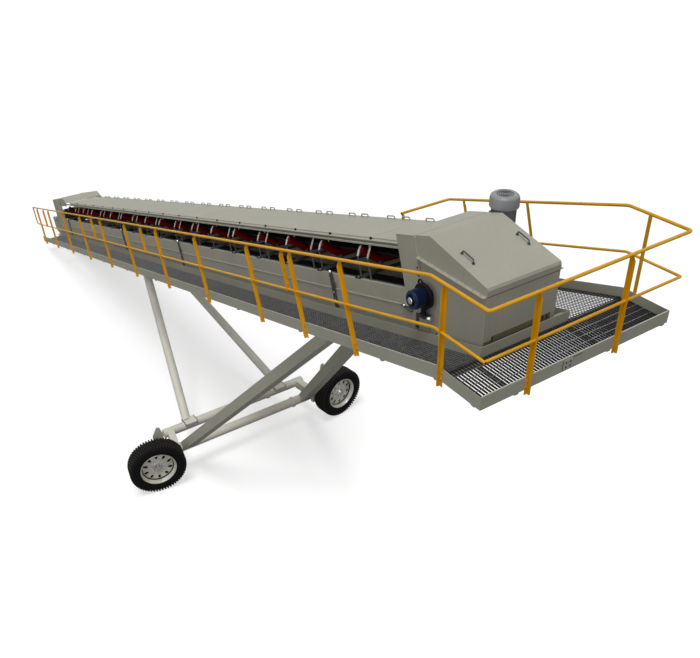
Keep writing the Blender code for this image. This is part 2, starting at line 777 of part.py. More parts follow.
NEAR = [edge_plate(U_WALK_TAIL, WALK_OUT), toe_board(U_WALK_TAIL, WALK_IN)]
for u in NEAR_BEARERS:
    NEAR.append(bearer(u, -1.0, WALK_OUT + 0.002, WALK_IN + 0.001))
node("near_walkway_frame", NEAR, STEEL)
FAR = [edge_plate(U_FAR_END, FAR_OUT - FASCIA_T), toe_board(U_FAR_END, FAR_IN - CHANNEL_T)]
for u in FAR_BEARERS:
    FAR.append(bearer(u, 1.0, FAR_OUT - 0.002, FAR_IN - 0.001))
node("far_walkway_frame", FAR, STEEL)


def grating(y0, y1, a0, a1, top, frame, cross):
    bars = []
    count = int((y1 - y0 - GRATE_T) / GRATE_PITCH)
    pitch = (y1 - y0 - GRATE_T) / count
    low = top - GRATE_H
    for i in range(count + 1):
        y = y0 + pitch * i
        bars.append(box(a0, a1, y, y + GRATE_T, low, top, frame))
    for a in cross:
        bars.append(box(a - 0.004, a + 0.004, y0 + 0.003, y1 - 0.003, low - CROSS_DROP, low + 0.008, frame))
    return bars


GRATE_CLEAR = 0.004
near_y = (WALK_OUT + FASCIA_T + GRATE_CLEAR, WALK_IN - GRATE_CLEAR)
far_y = (FAR_IN + GRATE_CLEAR, FAR_OUT - FASCIA_T - GRATE_CLEAR)
node(
    "near_grating",
    grating(near_y[0], near_y[1], U_WALK_TAIL + 0.01, -0.05, GRATE_TOP, SLOPE, NEAR_BEARERS),
    GALV,
)
node(
    "far_grating",
    grating(far_y[0], far_y[1], U_FAR_END + 0.01, -0.05, GRATE_TOP, SLOPE, FAR_BEARERS),
    GALV,
)

# Level head platform
PLATFORM = [box(PLATFORM_X - FASCIA_T, PLATFORM_X, WALK_OUT + 0.001, FAR_OUT - 0.001, LOW_Z, deck)]
for y in (WALK_OUT, FAR_OUT - FASCIA_T):
    outline = [
        (BEND_X + MITRE_GAP, deck - 0.0005),
        (PLATFORM_X - 0.001, deck - 0.0005),
        (PLATFORM_X - 0.001, LOW_Z + 0.0005),
        (BEND_X + FASCIA_H * MITRE + MITRE_GAP, LOW_Z + 0.0005),
    ]
    PLATFORM.append(prism(outline, y, y + FASCIA_T))
beam_top = deck + BEARER_TOP
for x in PLATFORM_BEAM_X:
    PLATFORM.append(
        box(x, x + PLATFORM_BEAM_W, WALK_OUT + FASCIA_T + 0.001, FAR_OUT - FASCIA_T - 0.001,
            beam_top - BEARER_H, beam_top)
    )
for y in PLATFORM_RIB_Y:
    PLATFORM.append(
        box(PLATFORM_BEAM_X[0] + 0.002, PLATFORM_X - 0.003, y, y + 0.06,
            beam_top - BEARER_H + 0.002, beam_top - 0.002)
    )
node("platform_frame", PLATFORM, STEEL)
plate_y = (WALK_OUT + FASCIA_T + GRATE_CLEAR, FAR_OUT - FASCIA_T - GRATE_CLEAR)
plate_x = (TOE_X + CHANNEL_T + 0.006, PLATFORM_X - FASCIA_T - GRATE_CLEAR)
node(
    "platform_grating",
    grating(plate_y[0], plate_y[1], plate_x[0], plate_x[1], deck + GRATE_TOP, LEVEL,
            [x + PLATFORM_BEAM_W / 2.0 for x in PLATFORM_BEAM_X]),
    GALV,
)

# Toe plate in front of the discharge box, stood on the platform's rear beam
node(
    "toe_plate",
    [box(TOE_X, TOE_X + CHANNEL_T, WALK_IN, FAR_IN, beam_top + GAP, deck + CHANNEL_TOP)],
    STEEL,
)

# Handrails with angle posts: near run, front run and far run
X_FRONT = PLATFORM_X + 0.022
Y_NEAR = WALK_OUT - 0.022
Y_FAR = FAR_OUT + 0.022
U_RAIL_END = -23.58
NEAR_CORNER = 0.06
FAR_CORNER = 0.035
TUBE_END = 0.01
POST_LEG = 0.05
POST_WALL = 0.007
POST_TOP = RAIL_TOP - 0.002
NEAR_POST_U = [-1.75, -3.14, -4.63, -6.97, -9.28, -11.64, -13.92, -16.26, -18.55, -20.87, -22.86]
SPLICE_POST_U = [-3.40, -10.35, -14.86, -21.72]
NEAR_POST_X = BEND_X + 0.04
FAR_POST_X = BEND_X + 0.15
FAR_POST_U = [-1.60, -3.0]
FRONT_POST_Y = [-0.61, 0.81]


def level_point(x, y, n):
    return Vector((x, y, deck + n))


def rail_runs(n):
    bend = BEND_X - n * MITRE
    near_end = Y_NEAR + NEAR_CORNER + TUBE_END
    far_end = Y_FAR - FAR_CORNER - TUBE_END
    near_run = [
        on_slope(U_RAIL_END, Y_NEAR, n),
        level_point(bend, Y_NEAR, n),
        level_point(X_FRONT - NEAR_CORNER, Y_NEAR, n),
        level_point(X_FRONT - NEAR_CORNER * 0.3, Y_NEAR + NEAR_CORNER * 0.3, n),
        level_point(X_FRONT, Y_NEAR + NEAR_CORNER, n),
        level_point(X_FRONT, near_end, n),
    ]
    front_run = [
        level_point(X_FRONT, near_end + GAP, n),
        level_point(X_FRONT, far_end - GAP, n),
    ]
    far_run = [
        level_point(X_FRONT, far_end, n),
        level_point(X_FRONT, Y_FAR - FAR_CORNER, n),
        level_point(X_FRONT - FAR_CORNER * 0.3, Y_FAR - FAR_CORNER * 0.3, n),
        level_point(X_FRONT - FAR_CORNER, Y_FAR, n),
        level_point(bend, Y_FAR, n),
        on_slope(U_FAR_END + 0.03, Y_FAR, n),
    ]
    return near_run, front_run, far_run


# An angle post: one leg lies on the edge plate, the other points outward
def side_post(a, b, out, frame, low, high):
    outline = [
        (a, b),
        (a + POST_LEG, b),
        (a + POST_LEG, b + out * POST_WALL),
        (a + POST_WALL, b + out * POST_WALL),
        (a + POST_WALL, b + out * POST_LEG),
        (a, b + out * POST_LEG),
    ]
    return prism(outline, low, high, frame, plane="ab")


def front_post(x, y, low, high):
    outline = [
        (x, y - POST_LEG),
        (x, y),
        (x + POST_LEG, y),
        (x + POST_LEG, y - POST_WALL),
        (x + POST_WALL, y - POST_WALL),
        (x + POST_WALL, y - POST_LEG),
    ]
    return prism(outline, low, high, plane="ab")


tops = rail_runs(RAIL_TOP)
mids = rail_runs(RAIL_MID)
runs = [[swept(tops[i], RAIL_R, 2), swept(mids[i], MID_R, 2)] for i in range(3)]
NEAR_RAIL, FRONT_RAIL, FAR_RAIL = runs
NEAR_RAIL.append(
    swept([on_slope(U_RAIL_END, Y_NEAR, RAIL_TOP - 0.005), on_slope(U_RAIL_END, Y_NEAR, RAIL_MID + 0.005)],
          MID_R * 0.96, 2)
)
near_face = WALK_OUT - GAP
far_face = FAR_OUT + GAP
for u in NEAR_POST_U:
    NEAR_RAIL.append(side_post(u - 0.025, near_face, -1.0, SLOPE, -0.24, POST_TOP))
for u in SPLICE_POST_U:
    NEAR_RAIL.append(side_post(u - 0.025, near_face, -1.0, SLOPE, RAIL_MID - 0.03, POST_TOP))
NEAR_RAIL.append(side_post(NEAR_POST_X, near_face, -1.0, LEVEL, deck - 0.24, deck + POST_TOP))
for y in FRONT_POST_Y:
    FRONT_RAIL.append(front_post(PLATFORM_X + GAP, y + 0.025, deck - 0.24, deck + POST_TOP))
FAR_RAIL.append(side_post(FAR_POST_X, far_face, 1.0, LEVEL, deck - 0.20, deck + POST_TOP))
for u in FAR_POST_U:
    FAR_RAIL.append(side_post(u, far_face, 1.0, SLOPE, -0.20, POST_TOP))
node("near_rail", NEAR_RAIL, YELLOW)
node("front_rail", FRONT_RAIL, YELLOW)
node("far_rail", FAR_RAIL, YELLOW)

# Undercarriage
LEG_TOP_N = STRINGER_BOTTOM - 0.10 - GAP
REAR_SPAN = 1.92
REAR_FOOT_Y = 1.30
REAR_HEAD_Y = 0.22
REAR_LEG_R = 0.105
FRONT_SPAN = 1.86
FRONT_FOOT_Y = 1.62
FRONT_HEAD_Y = 0.25
FRONT_LEG_WIDE = 0.30
FRONT_LEG_DEEP = 0.20
LEG_OVER = 0.2


def cross_tube(x, span, radius):
    return rod((x, -span, TUBE_Z), (x, span, TUBE_Z), radius, 24)


node(
    "rear_cross_tube",
    [cross_tube(REAR_TUBE_X, REAR_SPAN, TUBE_R)],
    STEEL,
)
node(
    "front_cross_tube",
    [cross_tube(FRONT_TUBE_X, FRONT_SPAN, TUBE_R)],
    STEEL,
)
above = box(U_TAIL, 3.0, -2.0, 2.0, LEG_TOP_N, 3.0, SLOPE)
for side, sign in SIDES:
    top = on_slope(REAR_LEG_U, sign * REAR_HEAD_Y, LEG_TOP_N + LEG_OVER)
    bottom = Vector((REAR_TUBE_X, sign * REAR_FOOT_Y, TUBE_Z))
    node(
        "rear_leg_" + side,
        [rod(bottom, top, REAR_LEG_R, 24)],
        STEEL,
        cuts=[
            above.copy(),
            cross_tube(REAR_TUBE_X, 3.0, TUBE_R + GAP),
        ],
    )
    top = on_slope(FRONT_LEG_U, sign * FRONT_HEAD_Y, LEG_TOP_N + LEG_OVER)
    bottom = Vector((FRONT_TUBE_X, sign * FRONT_FOOT_Y, TUBE_Z))
    along = (top - bottom).normalized()
    across = Vector((0.0, 1.0, 0.0)).cross(along).normalized()
    wide = along.cross(across).normalized()
    leg_frame = Matrix.Translation(bottom) @ Matrix((wide, across, along)).transposed().to_4x4()
    half_wide = FRONT_LEG_WIDE / 2.0
    half_deep = FRONT_LEG_DEEP / 2.0
    node(
        "front_leg_" + side,
        [box(-half_wide, half_wide, -half_deep, half_deep, 0.0, (top - bottom).length, leg_frame)],
        STEEL,
        cuts=[
            above.copy(),
            cross_tube(FRONT_TUBE_X, 3.0, TUBE_R + GAP),
        ],
    )

# Wheel mounts, rims and tyres; the axles point at the tail foot
for side, sign in SIDES:
    yaw = sign * WHEEL_YAW
    centre = Vector((WHEEL_X, sign * WHEEL_Y, TYRE_R))
    axle = Vector((math.cos(yaw), math.sin(yaw), 0.0))
    frame = Matrix.Translation(centre) @ Matrix.Rotation(yaw, 4, "Z")
    plate = [
        (-sign * 0.62, -0.18),
        (-sign * 0.62, 0.18),
        (-sign * 0.25, 0.34),
        (sign * 0.12, 0.34),
        (sign * 0.12, -0.16),
        (-sign * 0.30, -0.18),
    ]
    arm_b = (-sign * 0.62, -sign * 0.46)
    node(
        "wheel_mount_" + side,
        [
            prism(plate, -0.34, -0.24, frame, plane="bc"),
            rod(frame @ Vector((-0.30, 0.0, 0.0)), frame @ Vector((0.10, 0.0, 0.0)), SPINDLE_R, WHEEL_SIDES),
            box(-0.95, -0.28, min(arm_b), max(arm_b), -0.09, 0.13, frame),
        ],
        STEEL,
        cuts=[
            cross_tube(REAR_TUBE_X, REAR_SPAN + GAP, TUBE_R + GAP),
            cross_tube(FRONT_TUBE_X, FRONT_SPAN + GAP, TUBE_R + GAP),
        ],
    )
    bore = SPINDLE_R + 0.0005
    rim_profile = [
        (bore, -0.12), (0.12, -0.12), (0.12, 0.02), (0.36, 0.03), (0.36, -0.16), (0.40, -0.16),
        (0.40, 0.17), (0.385, 0.17), (0.37, 0.06), (0.20, 0.05), (0.13, 0.12), (bore, 0.12),
    ]
    node("rim_" + side, [spun(rim_profile, centre, axle, WHEEL_SIDES)], RIM, origin=centre)
    hw = TYRE_W / 2.0
    tyre_profile = [
        (0.40 + GAP, -hw * 0.8), (0.50, -hw), (0.60, -hw), (TYRE_R, -hw * 0.78),
        (TYRE_R, hw * 0.78), (0.60, hw), (0.50, hw), (0.40 + GAP, hw * 0.8),
    ]
    node("tyre_" + side, [spun(tyre_profile, centre, axle, WHEEL_SIDES)], TYRE, origin=centre)
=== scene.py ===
# Finish, fine detail, camera and light for the mobile covered belt conveyor
import json
import math

import bmesh
import bpy
from mathutils import Matrix, Vector


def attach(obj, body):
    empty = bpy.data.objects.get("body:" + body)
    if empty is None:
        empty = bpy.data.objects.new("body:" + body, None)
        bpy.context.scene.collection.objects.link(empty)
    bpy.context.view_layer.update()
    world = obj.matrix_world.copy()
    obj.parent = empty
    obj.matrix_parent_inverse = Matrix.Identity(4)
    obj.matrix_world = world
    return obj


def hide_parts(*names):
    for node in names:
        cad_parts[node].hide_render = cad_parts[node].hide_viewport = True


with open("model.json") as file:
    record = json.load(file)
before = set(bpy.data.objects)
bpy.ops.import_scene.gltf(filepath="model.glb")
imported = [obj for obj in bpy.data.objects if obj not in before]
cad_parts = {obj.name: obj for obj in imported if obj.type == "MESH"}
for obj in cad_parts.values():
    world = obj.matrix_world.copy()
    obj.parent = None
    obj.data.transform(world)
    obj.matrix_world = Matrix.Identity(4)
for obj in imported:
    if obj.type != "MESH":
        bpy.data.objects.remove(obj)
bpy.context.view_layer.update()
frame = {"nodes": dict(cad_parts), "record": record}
NODES = frame["nodes"]

# Sizes shared with the solids, in metres
INCLINE = math.radians(17.8)
BEND_X = 23.13
DECK_Z = 7.70
MITRE = math.tan(INCLINE / 2.0)
WALK_OUT = -1.274
WALK_IN = -0.656
FAR_IN = 0.796
FAR_OUT = 1.80
PLATFORM_X = 23.84
TOE_X = 23.14
FASCIA_T = 0.008
GRATE_TOP = -0.13
GRATE_H = 0.028
U_WALK_TAIL = -23.47
U_FAR_END = -3.40
U_RAIL_END = -23.58
RAIL_TOP = 1.078
RAIL_MID = 0.478
RAIL_R = 0.021
MID_R = 0.018
BODY_Y = 0.58
HOOD_TOP = 1.25
U_HEAD_COLUMN = -1.40
U_HOOD = -1.035
COVER_Y = 0.47
COVER_TOP = 1.12
COVER_T = 0.004
COVER_SKIRT = 0.045
STRINGER_Y = 0.60
STRINGER_TOP = 0.53
BELT_LINE = 0.76
ROLLER_R = 0.06
WING = math.radians(38.0)
FLAT_HALF = 0.175
IDLER_PITCH = 1.11
IDLER_FIRST = -2.53
IDLER_COUNT = 18
SEAM_FIRST = -2.25
COVER_COUNT = 18
MOVE_GAP = 0.006
WHEEL_X = 14.943
WHEEL_Y = 2.452
TYRE_R = 0.645
TYRE_W = 0.37
WHEEL_YAW = math.radians(9.36)
HEAD_PULLEY_U = -0.93
TAIL_PULLEY_U = -23.45
PULLEY_N = 0.5097
BOX_TOP = 8.325
BOX_FRONT = 23.09
BOX_LOW = 7.42

SLOPE = Matrix(
    (
        (math.cos(INCLINE), 0.0, -math.sin(INCLINE), BEND_X),
        (0.0, 1.0, 0.0, 0.0),
        (math.sin(INCLINE), 0.0, math.cos(INCLINE), DECK_Z),
        (0.0, 0.0, 0.0, 1.0),
    )
)
LEVEL = Matrix.Identity(4)
UP = Vector((0.0, 0.0, 1.0))
AXIS_R = 0.0001
SIDES = (("near", -1.0), ("far", 1.0))


# Two distances from the middle plane, on one side of it, the lower first
def on_side(sign, inner, outer):
    return sorted((sign * inner, sign * outer))


def on_slope(u, y, n):
    return SLOPE @ Vector((u, y, n))


# Camera at the photograph's place
CAMERA_AT = Vector((28.461, -5.886, 12.673))
HEADING = math.radians(147.054)
PITCH = math.radians(-32.584)
ROLL = math.radians(-1.139)
FOCAL_PX = 769.9
PHOTO_WIDTH = 700.0
SENSOR = 36.0


def make_camera():
    forward = Vector(
        (
            math.cos(PITCH) * math.cos(HEADING),
            math.cos(PITCH) * math.sin(HEADING),
            math.sin(PITCH),
        )
    )
    level_right = forward.cross(Vector((0.0, 0.0, 1.0))).normalized()
    level_up = level_right.cross(forward)
    right = math.cos(ROLL) * level_right + math.sin(ROLL) * level_up
    up = math.cos(ROLL) * level_up - math.sin(ROLL) * level_right
    data = bpy.data.cameras.new("camera")
    data.sensor_width = SENSOR
    data.lens = FOCAL_PX * SENSOR / PHOTO_WIDTH
    data.clip_end = 300.0
    camera = bpy.data.objects.new("camera", data)
    bpy.context.scene.collection.objects.link(camera)
    turn = Matrix((right, up, -forward)).transposed().to_4x4()
    camera.matrix_world = Matrix.Translation(CAMERA_AT) @ turn
    bpy.context.scene.camera = camera


make_camera()


# Materials: every one has its own tone variation, streaks of grime and fine bump
ROUGH_VARY = 0.12
STREAK_STRETCH = (9.0, 9.0, 0.8)
STREAK_FROM = 0.52
STREAK_TO = 0.78
GRIME_SHADE = 0.45
BUMP_DEPTH = 0.002


# A shader node with values on its sockets and links into them
def add(tree, kind, values=(), links=()):
    made = tree.nodes.new("ShaderNode" + kind)
    for socket, value in values:
        made.inputs[socket].default_value = value
    for source, output, socket in links:
        tree.links.new(source.outputs[output], made.inputs[socket])
    return made


def material(name, colour, rough, metal=0.0, tone=0.08, scale=3.0, bump=0.1, grain=120.0,
             streak=0.0, spec=0.5):
    made = bpy.data.materials.new(name)
    made.use_nodes = True
    tree = made.node_tree
    shader = tree.nodes["Principled BSDF"]
    shader.inputs["Metallic"].default_value = metal
    shader.inputs["Specular IOR Level"].default_value = spec
    place = add(tree, "TexCoord")

    cloud = add(tree, "TexNoise", [("Scale", scale), ("Detail", 6.0)], [(place, "Object", "Vector")])
    stretch = add(tree, "Mapping", [("Scale", STREAK_STRETCH)], [(place, "Object", "Vector")])
    run = add(tree, "TexNoise", [("Scale", 2.0), ("Detail", 4.0)], [(stretch, "Vector", "Vector")])

    ramp = add(tree, "ValToRGB", links=[(cloud, "Fac", "Fac")])
    low = [max(0.0, c * (1.0 - tone)) for c in colour]
    high = [min(1.0, c * (1.0 + tone)) for c in colour]
    ramp.color_ramp.elements[0].position = 0.3
    ramp.color_ramp.elements[0].color = (*low, 1.0)
    ramp.color_ramp.elements[1].position = 0.7
    ramp.color_ramp.elements[1].color = (*high, 1.0)

    limits = [("From Min", STREAK_FROM), ("From Max", STREAK_TO), ("To Min", 0.0), ("To Max", streak)]
    grime = add(tree, "MapRange", limits, [(run, "Fac", "Value")])
    dull = add(tree, "Mix")
    dull.data_type = "RGBA"
    dull.inputs["B"].default_value = (*[c * GRIME_SHADE for c in colour], 1.0)
    tree.links.new(grime.outputs["Result"], dull.inputs["Factor"])
    tree.links.new(ramp.outputs["Color"], dull.inputs["A"])
    tree.links.new(dull.outputs["Result"], shader.inputs["Base Color"])

    dullest = min(1.0, rough + ROUGH_VARY / 2.0)
    limits = [("To Min", max(0.05, rough - ROUGH_VARY / 2.0)), ("To Max", dullest)]
    gloss = add(tree, "MapRange", limits, [(cloud, "Fac", "Value")])
    tree.links.new(gloss.outputs["Result"], shader.inputs["Roughness"])

    speck = add(tree, "TexNoise", [("Scale", grain), ("Detail", 3.0)], [(place, "Object", "Vector")])
    relief = add(tree, "Bump", [("Strength", bump), ("Distance", BUMP_DEPTH)], [(speck, "Fac", "Height")])
    tree.links.new(relief.outputs["Normal"], shader.inputs["Normal"])
    return made


PAINT = material("grey_paint", (0.42, 0.41, 0.335), 0.48,
                 tone=0.05, scale=1.2, bump=0.06, streak=0.10, spec=0.35)
# Paler copy of the grey paint: painted light for the undercarriage and the fascia edges
LIT_PAINT = material("paint_painted_light", (0.74, 0.72, 0.63), 0.42,
                tone=0.06, scale=2.0, bump=0.06, streak=0.12, spec=0.35)
YELLOW = material("yellow_paint", (0.80, 0.40, 0.006), 0.34,
                  tone=0.08, scale=4.0, bump=0.06, streak=0.10, spec=0.25)
RED = material("red_paint", (0.21, 0.0015, 0.0015), 0.42, tone=0.20, scale=8.0, bump=0.10, spec=0.08)
RUBBER = material("belt_black", (0.012, 0.012, 0.012), 0.62,
                  tone=0.25, scale=6.0, bump=0.25, grain=60.0, spec=0.25)
GALV = material("zinc", (0.42, 0.43, 0.44), 0.42, metal=0.75, tone=0.22, scale=26.0, bump=0.12)
# Near-black and dark grey for the galvanised grating bars: painted shade
GRATE_SHADE = material("grating_painted_shade", (0.06, 0.06, 0.06), 0.5,
                 metal=0.3, tone=0.25, scale=20.0, bump=0.12, spec=0.3)
WALK_SHADE = material("walkway_painted_shade", (0.15, 0.15, 0.15), 0.5,
                metal=0.3, tone=0.35, scale=9.0, bump=0.12, spec=0.3)
# Dark olive for the strip along the foot of the chute's front: painted shade
SHADE_OLIVE = material("olive_painted_shade", (0.17, 0.155, 0.10), 0.6, tone=0.10, scale=6.0, bump=0.06, spec=0.2)
# Pale grey for the idler tips: painted light
LIT_BRACKET = material("bracket_painted_light", (0.62, 0.62, 0.60), 0.42, metal=0.2, tone=0.10, scale=12.0, bump=0.08)
# Dark grey for the backstop fittings; on the idler legs and the struts' lower halves it is painted shade
DARK_GREY_AND_SHADE = material("dark_grey_and_painted_shade", (0.085, 0.087, 0.092), 0.45,
               metal=0.2, tone=0.15, scale=10.0, bump=0.10, spec=0.3)
DARK = material("dark_steel", (0.075, 0.078, 0.083), 0.45,
                metal=0.3, tone=0.15, scale=10.0, bump=0.12, spec=0.3)
BLACK = material("black_rubber", (0.006, 0.006, 0.007), 0.5, tone=0.2, scale=10.0, bump=0.15, spec=0.15)
BLUE = material("blue_paint", (0.0015, 0.009, 0.036), 0.34, tone=0.12, scale=8.0, bump=0.06, spec=0.18)
BLUE_RING = material("blue_ring", (0.003, 0.028, 0.12), 0.30, tone=0.10, scale=8.0, bump=0.05, spec=0.3)
MOTOR = material("motor_grey", (0.30, 0.31, 0.315), 0.38, tone=0.06, scale=6.0, bump=0.06, spec=0.35)
TREAD = material("tread_grey", (0.016, 0.015, 0.014), 0.7,
                 tone=0.2, scale=14.0, bump=0.3, grain=220.0, spec=0.2)
TYRE = material("tyre_black", (0.006, 0.006, 0.006), 0.75,
                tone=0.25, scale=14.0, bump=0.35, grain=220.0, spec=0.12)
RIM = material("rim_steel", (0.78, 0.76, 0.68), 0.34, metal=0.35, tone=0.12, scale=16.0, bump=0.10)
BOLT = material("bolt_zinc", (0.55, 0.55, 0.54), 0.32, metal=0.9, tone=0.15, scale=40.0, bump=0.05)
CHROME = material("bright_steel", (0.80, 0.80, 0.80), 0.16, metal=1.0, tone=0.05, scale=30.0, bump=0.03)
# Dark red for the rails' bores: red primer, darkened as painted shade
PRIMER_SHADE = material("red_primer_and_shade", (0.10, 0.008, 0.003), 0.6, tone=0.15, scale=20.0, bump=0.08, spec=0.1)

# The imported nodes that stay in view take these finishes
NODE_FINISH = {
    "painted_steel": PAINT,
    "rail_yellow": YELLOW,
    "roller_red": RED,
    "belt_rubber": RUBBER,
    "galvanised": GALV,
    "backstop_blue": BLUE,
    "motor_grey": MOTOR,
    "tyre_rubber": TYRE,
    "wheel_steel": RIM,
}
for part in frame["record"]["subparts"]:
    shown = NODES[part["node"]]
    shown.data.materials.clear()
    shown.data.materials.append(NODE_FINISH[part["material_slot"]])


# A piece under construction: parts are added to one mesh and finished as one object
class Piece:
    def __init__(self):
        self.work = bmesh.new()

    def box(self, low, high, place=LEVEL):
        low = Vector(low)
        high = Vector(high)
        size = Matrix.Diagonal((*(high - low), 1.0))
        middle = Matrix.Translation((low + high) / 2.0)
        bmesh.ops.create_cube(self.work, size=1.0, matrix=place @ middle @ size)

    # The same box, from its range along each axis
    def block(self, x, y, z, place=LEVEL):
        self.box((x[0], y[0], z[0]), (x[1], y[1], z[1]), place)

    def rod(self, start, end, radius, sides, tip=None):
        start = Vector(start)
        end = Vector(end)
        turn = (end - start).to_track_quat("Z", "X").to_matrix().to_4x4()
        bmesh.ops.create_cone(
            self.work, cap_ends=True, segments=sides, radius1=radius,
            radius2=radius if tip is None else tip, depth=(end - start).length,
            matrix=Matrix.Translation((start + end) / 2.0) @ turn,
        )

    def ball(self, centre, size, place=LEVEL, detail=12):
        at = place @ Matrix.Translation(Vector(centre)) @ Matrix.Diagonal((*size, 1.0))
        bmesh.ops.create_uvsphere(
            self.work, u_segments=detail, v_segments=detail // 2, radius=1.0, matrix=at,
        )

    def prism(self, outline, start, end, place=LEVEL, plane="ac"):
        spots = {
            "ac": lambda p, q, d: Vector((p, d, q)),
            "bc": lambda p, q, d: Vector((d, p, q)),
            "ab": lambda p, q, d: Vector((p, q, d)),
        }
        spot = spots[plane]
        face = self.work.faces.new([self.work.verts.new(place @ spot(p, q, start)) for p, q in outline])
        grown = bmesh.ops.extrude_face_region(self.work, geom=[face])
        moved = [v for v in grown["geom"] if isinstance(v, bmesh.types.BMVert)]
        shift = place @ spot(0.0, 0.0, end) - place @ spot(0.0, 0.0, start)
        bmesh.ops.translate(self.work, verts=moved, vec=shift)

    def lathe(self, profile, place, sides):
        fresh = bmesh.new()
        verts = [fresh.verts.new((radius, 0.0, height)) for radius, height in profile]
        edges = [fresh.edges.new((verts[i - 1], verts[i])) for i in range(len(verts))]
        bmesh.ops.spin(
            fresh, geom=verts + edges, cent=(0.0, 0.0, 0.0), axis=(0.0, 0.0, 1.0),
            angle=2.0 * math.pi, steps=sides, use_merge=True,
        )
        bmesh.ops.transform(fresh, matrix=place, verts=fresh.verts)
        bmesh.ops.recalc_face_normals(fresh, faces=fresh.faces)
        self.take(fresh)

    def tube(self, path, radius, sides):
        rings = []
        points = [Vector(p) for p in path]
        lean = None
        for i, point in enumerate(points):
            back = (point - points[i - 1]).normalized() if i > 0 else None
            ahead = (points[i + 1] - point).normalized() if i < len(points) - 1 else None
            tangent = ((back or ahead) + (ahead or back)).normalized()
            if lean is None:
                guide = Vector((0.0, 0.0, 1.0))
                if abs(tangent.dot(guide)) > 0.9:
                    guide = Vector((1.0, 0.0, 0.0))
                lean = tangent.cross(guide).normalized()
            else:
                lean = (lean - tangent * lean.dot(tangent)).normalized()
            other = lean.cross(tangent)
            ring = []
            for k in range(sides):
                angle = 2.0 * math.pi * k / sides
                swing = math.cos(angle) * lean + math.sin(angle) * other
                ring.append(self.work.verts.new(point + radius * swing))
            rings.append(ring)
        for low, high in zip(rings, rings[1:]):
            for k in range(sides):
                m = (k + 1) % sides
                self.work.faces.new((low[k], low[m], high[m], high[k]))
        self.work.faces.new(rings[0][::-1])
        self.work.faces.new(rings[-1])

    def take(self, other):
        mesh = bpy.data.meshes.new("part")
        other.to_mesh(mesh)
        other.free()
        self.work.from_mesh(mesh)
        bpy.data.meshes.remove(mesh)

    # A washer, a six-sided nut on it and the bolt's end
    def bolt(self, at, along, radius, height, stub):
        washer = 0.003
        at = Vector(at)
        along = Vector(along).normalized()
        self.rod(at, at + along * washer, radius * 1.35, 12)
        self.rod(at + along * washer, at + along * (washer + height), radius, 6)
        self.rod(at + along * height, at + along * (washer + height + stub), radius * 0.5, 8)

    def done(self, name, finish, body="frame", replaces=(), smooth=35.0):
        bmesh.ops.recalc_face_normals(self.work, faces=self.work.faces)
        mesh = bpy.data.meshes.new(name)
        self.work.to_mesh(mesh)
        self.work.free()
        mesh.materials.append(finish)
        mesh.shade_smooth()
        mesh.set_sharp_from_angle(angle=math.radians(smooth))
        piece = bpy.data.objects.new(name, mesh)
        bpy.context.scene.collection.objects.link(piece)
        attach(piece, body)
        if replaces:
            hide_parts(*replaces)


# A path with its corners rounded
def rounded(points, radius, steps=6):
    points = [Vector(p) for p in points]
    path = [points[0]]
    for before, corner, after in zip(points, points[1:], points[2:]):
        back = (before - corner).normalized()
        ahead = (after - corner).normalized()
        reach = min(radius, (before - corner).length * 0.45, (after - corner).length * 0.45)
        for k in range(steps + 1):
            t = k / steps
            start = corner + back * reach
            end = corner + ahead * reach
            path.append((1 - t) ** 2 * start + 2 * t * (1 - t) * corner + t ** 2 * end)
    path.append(points[-1])
    return path


# Handrail: bent tubes with a short cross rail at the far rear end, chamfered angle posts and their bolts
RAIL_OFFSET = 0.022
Y_NEAR_RAIL = WALK_OUT - RAIL_OFFSET
Y_FAR_RAIL = FAR_OUT + RAIL_OFFSET
X_FRONT_RAIL = PLATFORM_X + RAIL_OFFSET
RAIL_CORNER = 0.045
CROSS_END_Y = 0.86
CROSS_U = U_FAR_END + 0.03
STUB_Y = CROSS_END_Y + 0.02
LOOP_BACK = 0.55
OPEN_END = 0.018
POST_LEG = 0.05
POST_HALF = POST_LEG / 2.0
POST_WALL = 0.007
POST_CUT = 0.012
POST_TIP = 0.016
POST_SHY = 0.026
POST_CHAMFER = 0.085
POST_BOLT = (0.010, 0.008, 0.006)
POST_LOW = -0.24
FAR_POST_LOW = -0.20
SPLICE_LOW = RAIL_MID - 0.03
POST_TOP = RAIL_TOP - 0.004
FOOT_BOLTS = (-0.045, -0.125)
SPLICE_BOLTS = (0.56, 0.80, 1.0)
NEAR_POST_U = [-1.75, -3.14, -4.63, -6.97, -9.28, -11.64, -13.92, -16.26, -18.55, -20.87, -22.86]
SPLICE_POST_U = [-3.40, -10.35, -14.86, -21.72]
FAR_POST_U = [-1.60, -3.0]
FRONT_POST_Y = [-0.585, 0.835]
NEAR_POST_X = BEND_X + 0.04
FAR_POST_X = BEND_X + 0.15
NEAR_FACE = WALK_OUT - 0.0003
FAR_FACE = FAR_OUT + 0.0003


def level_point(x, y, n):
    return Vector((x, y, DECK_Z + n))


def bend_point(y, n):
    return Vector((BEND_X - n * MITRE, y, DECK_Z + n))


# The flat leg runs along the place's x, the chamfered leg points along its y
def post(place, low, bolts_at):
    rails.box((0.0, 0.0, low), (POST_LEG, POST_WALL, POST_TOP), place)
    leg = [
        (POST_WALL * 0.5, low), (POST_LEG - POST_CUT, low), (POST_LEG, low + POST_CUT),
        (POST_LEG, POST_TOP - POST_CHAMFER), (POST_TIP, POST_TOP - POST_SHY),
        (POST_WALL * 0.5, POST_TOP - POST_SHY),
    ]
    rails.prism(leg, 0.0, POST_WALL, place, plane="bc")
    outward = (place.to_3x3() @ Vector((0.0, 1.0, 0.0))).normalized()
    for n in bolts_at:
        rail_bolts.bolt(place @ Vector((POST_LEG * 0.62, POST_WALL, n)), outward, *POST_BOLT)


def side_place(a, face, out, level):
    turn = Matrix.Diagonal((1.0, out, 1.0, 1.0))
    if level:
        return Matrix.Translation((a, face, DECK_Z)) @ turn
    return SLOPE @ Matrix.Translation((a, face, 0.0)) @ turn


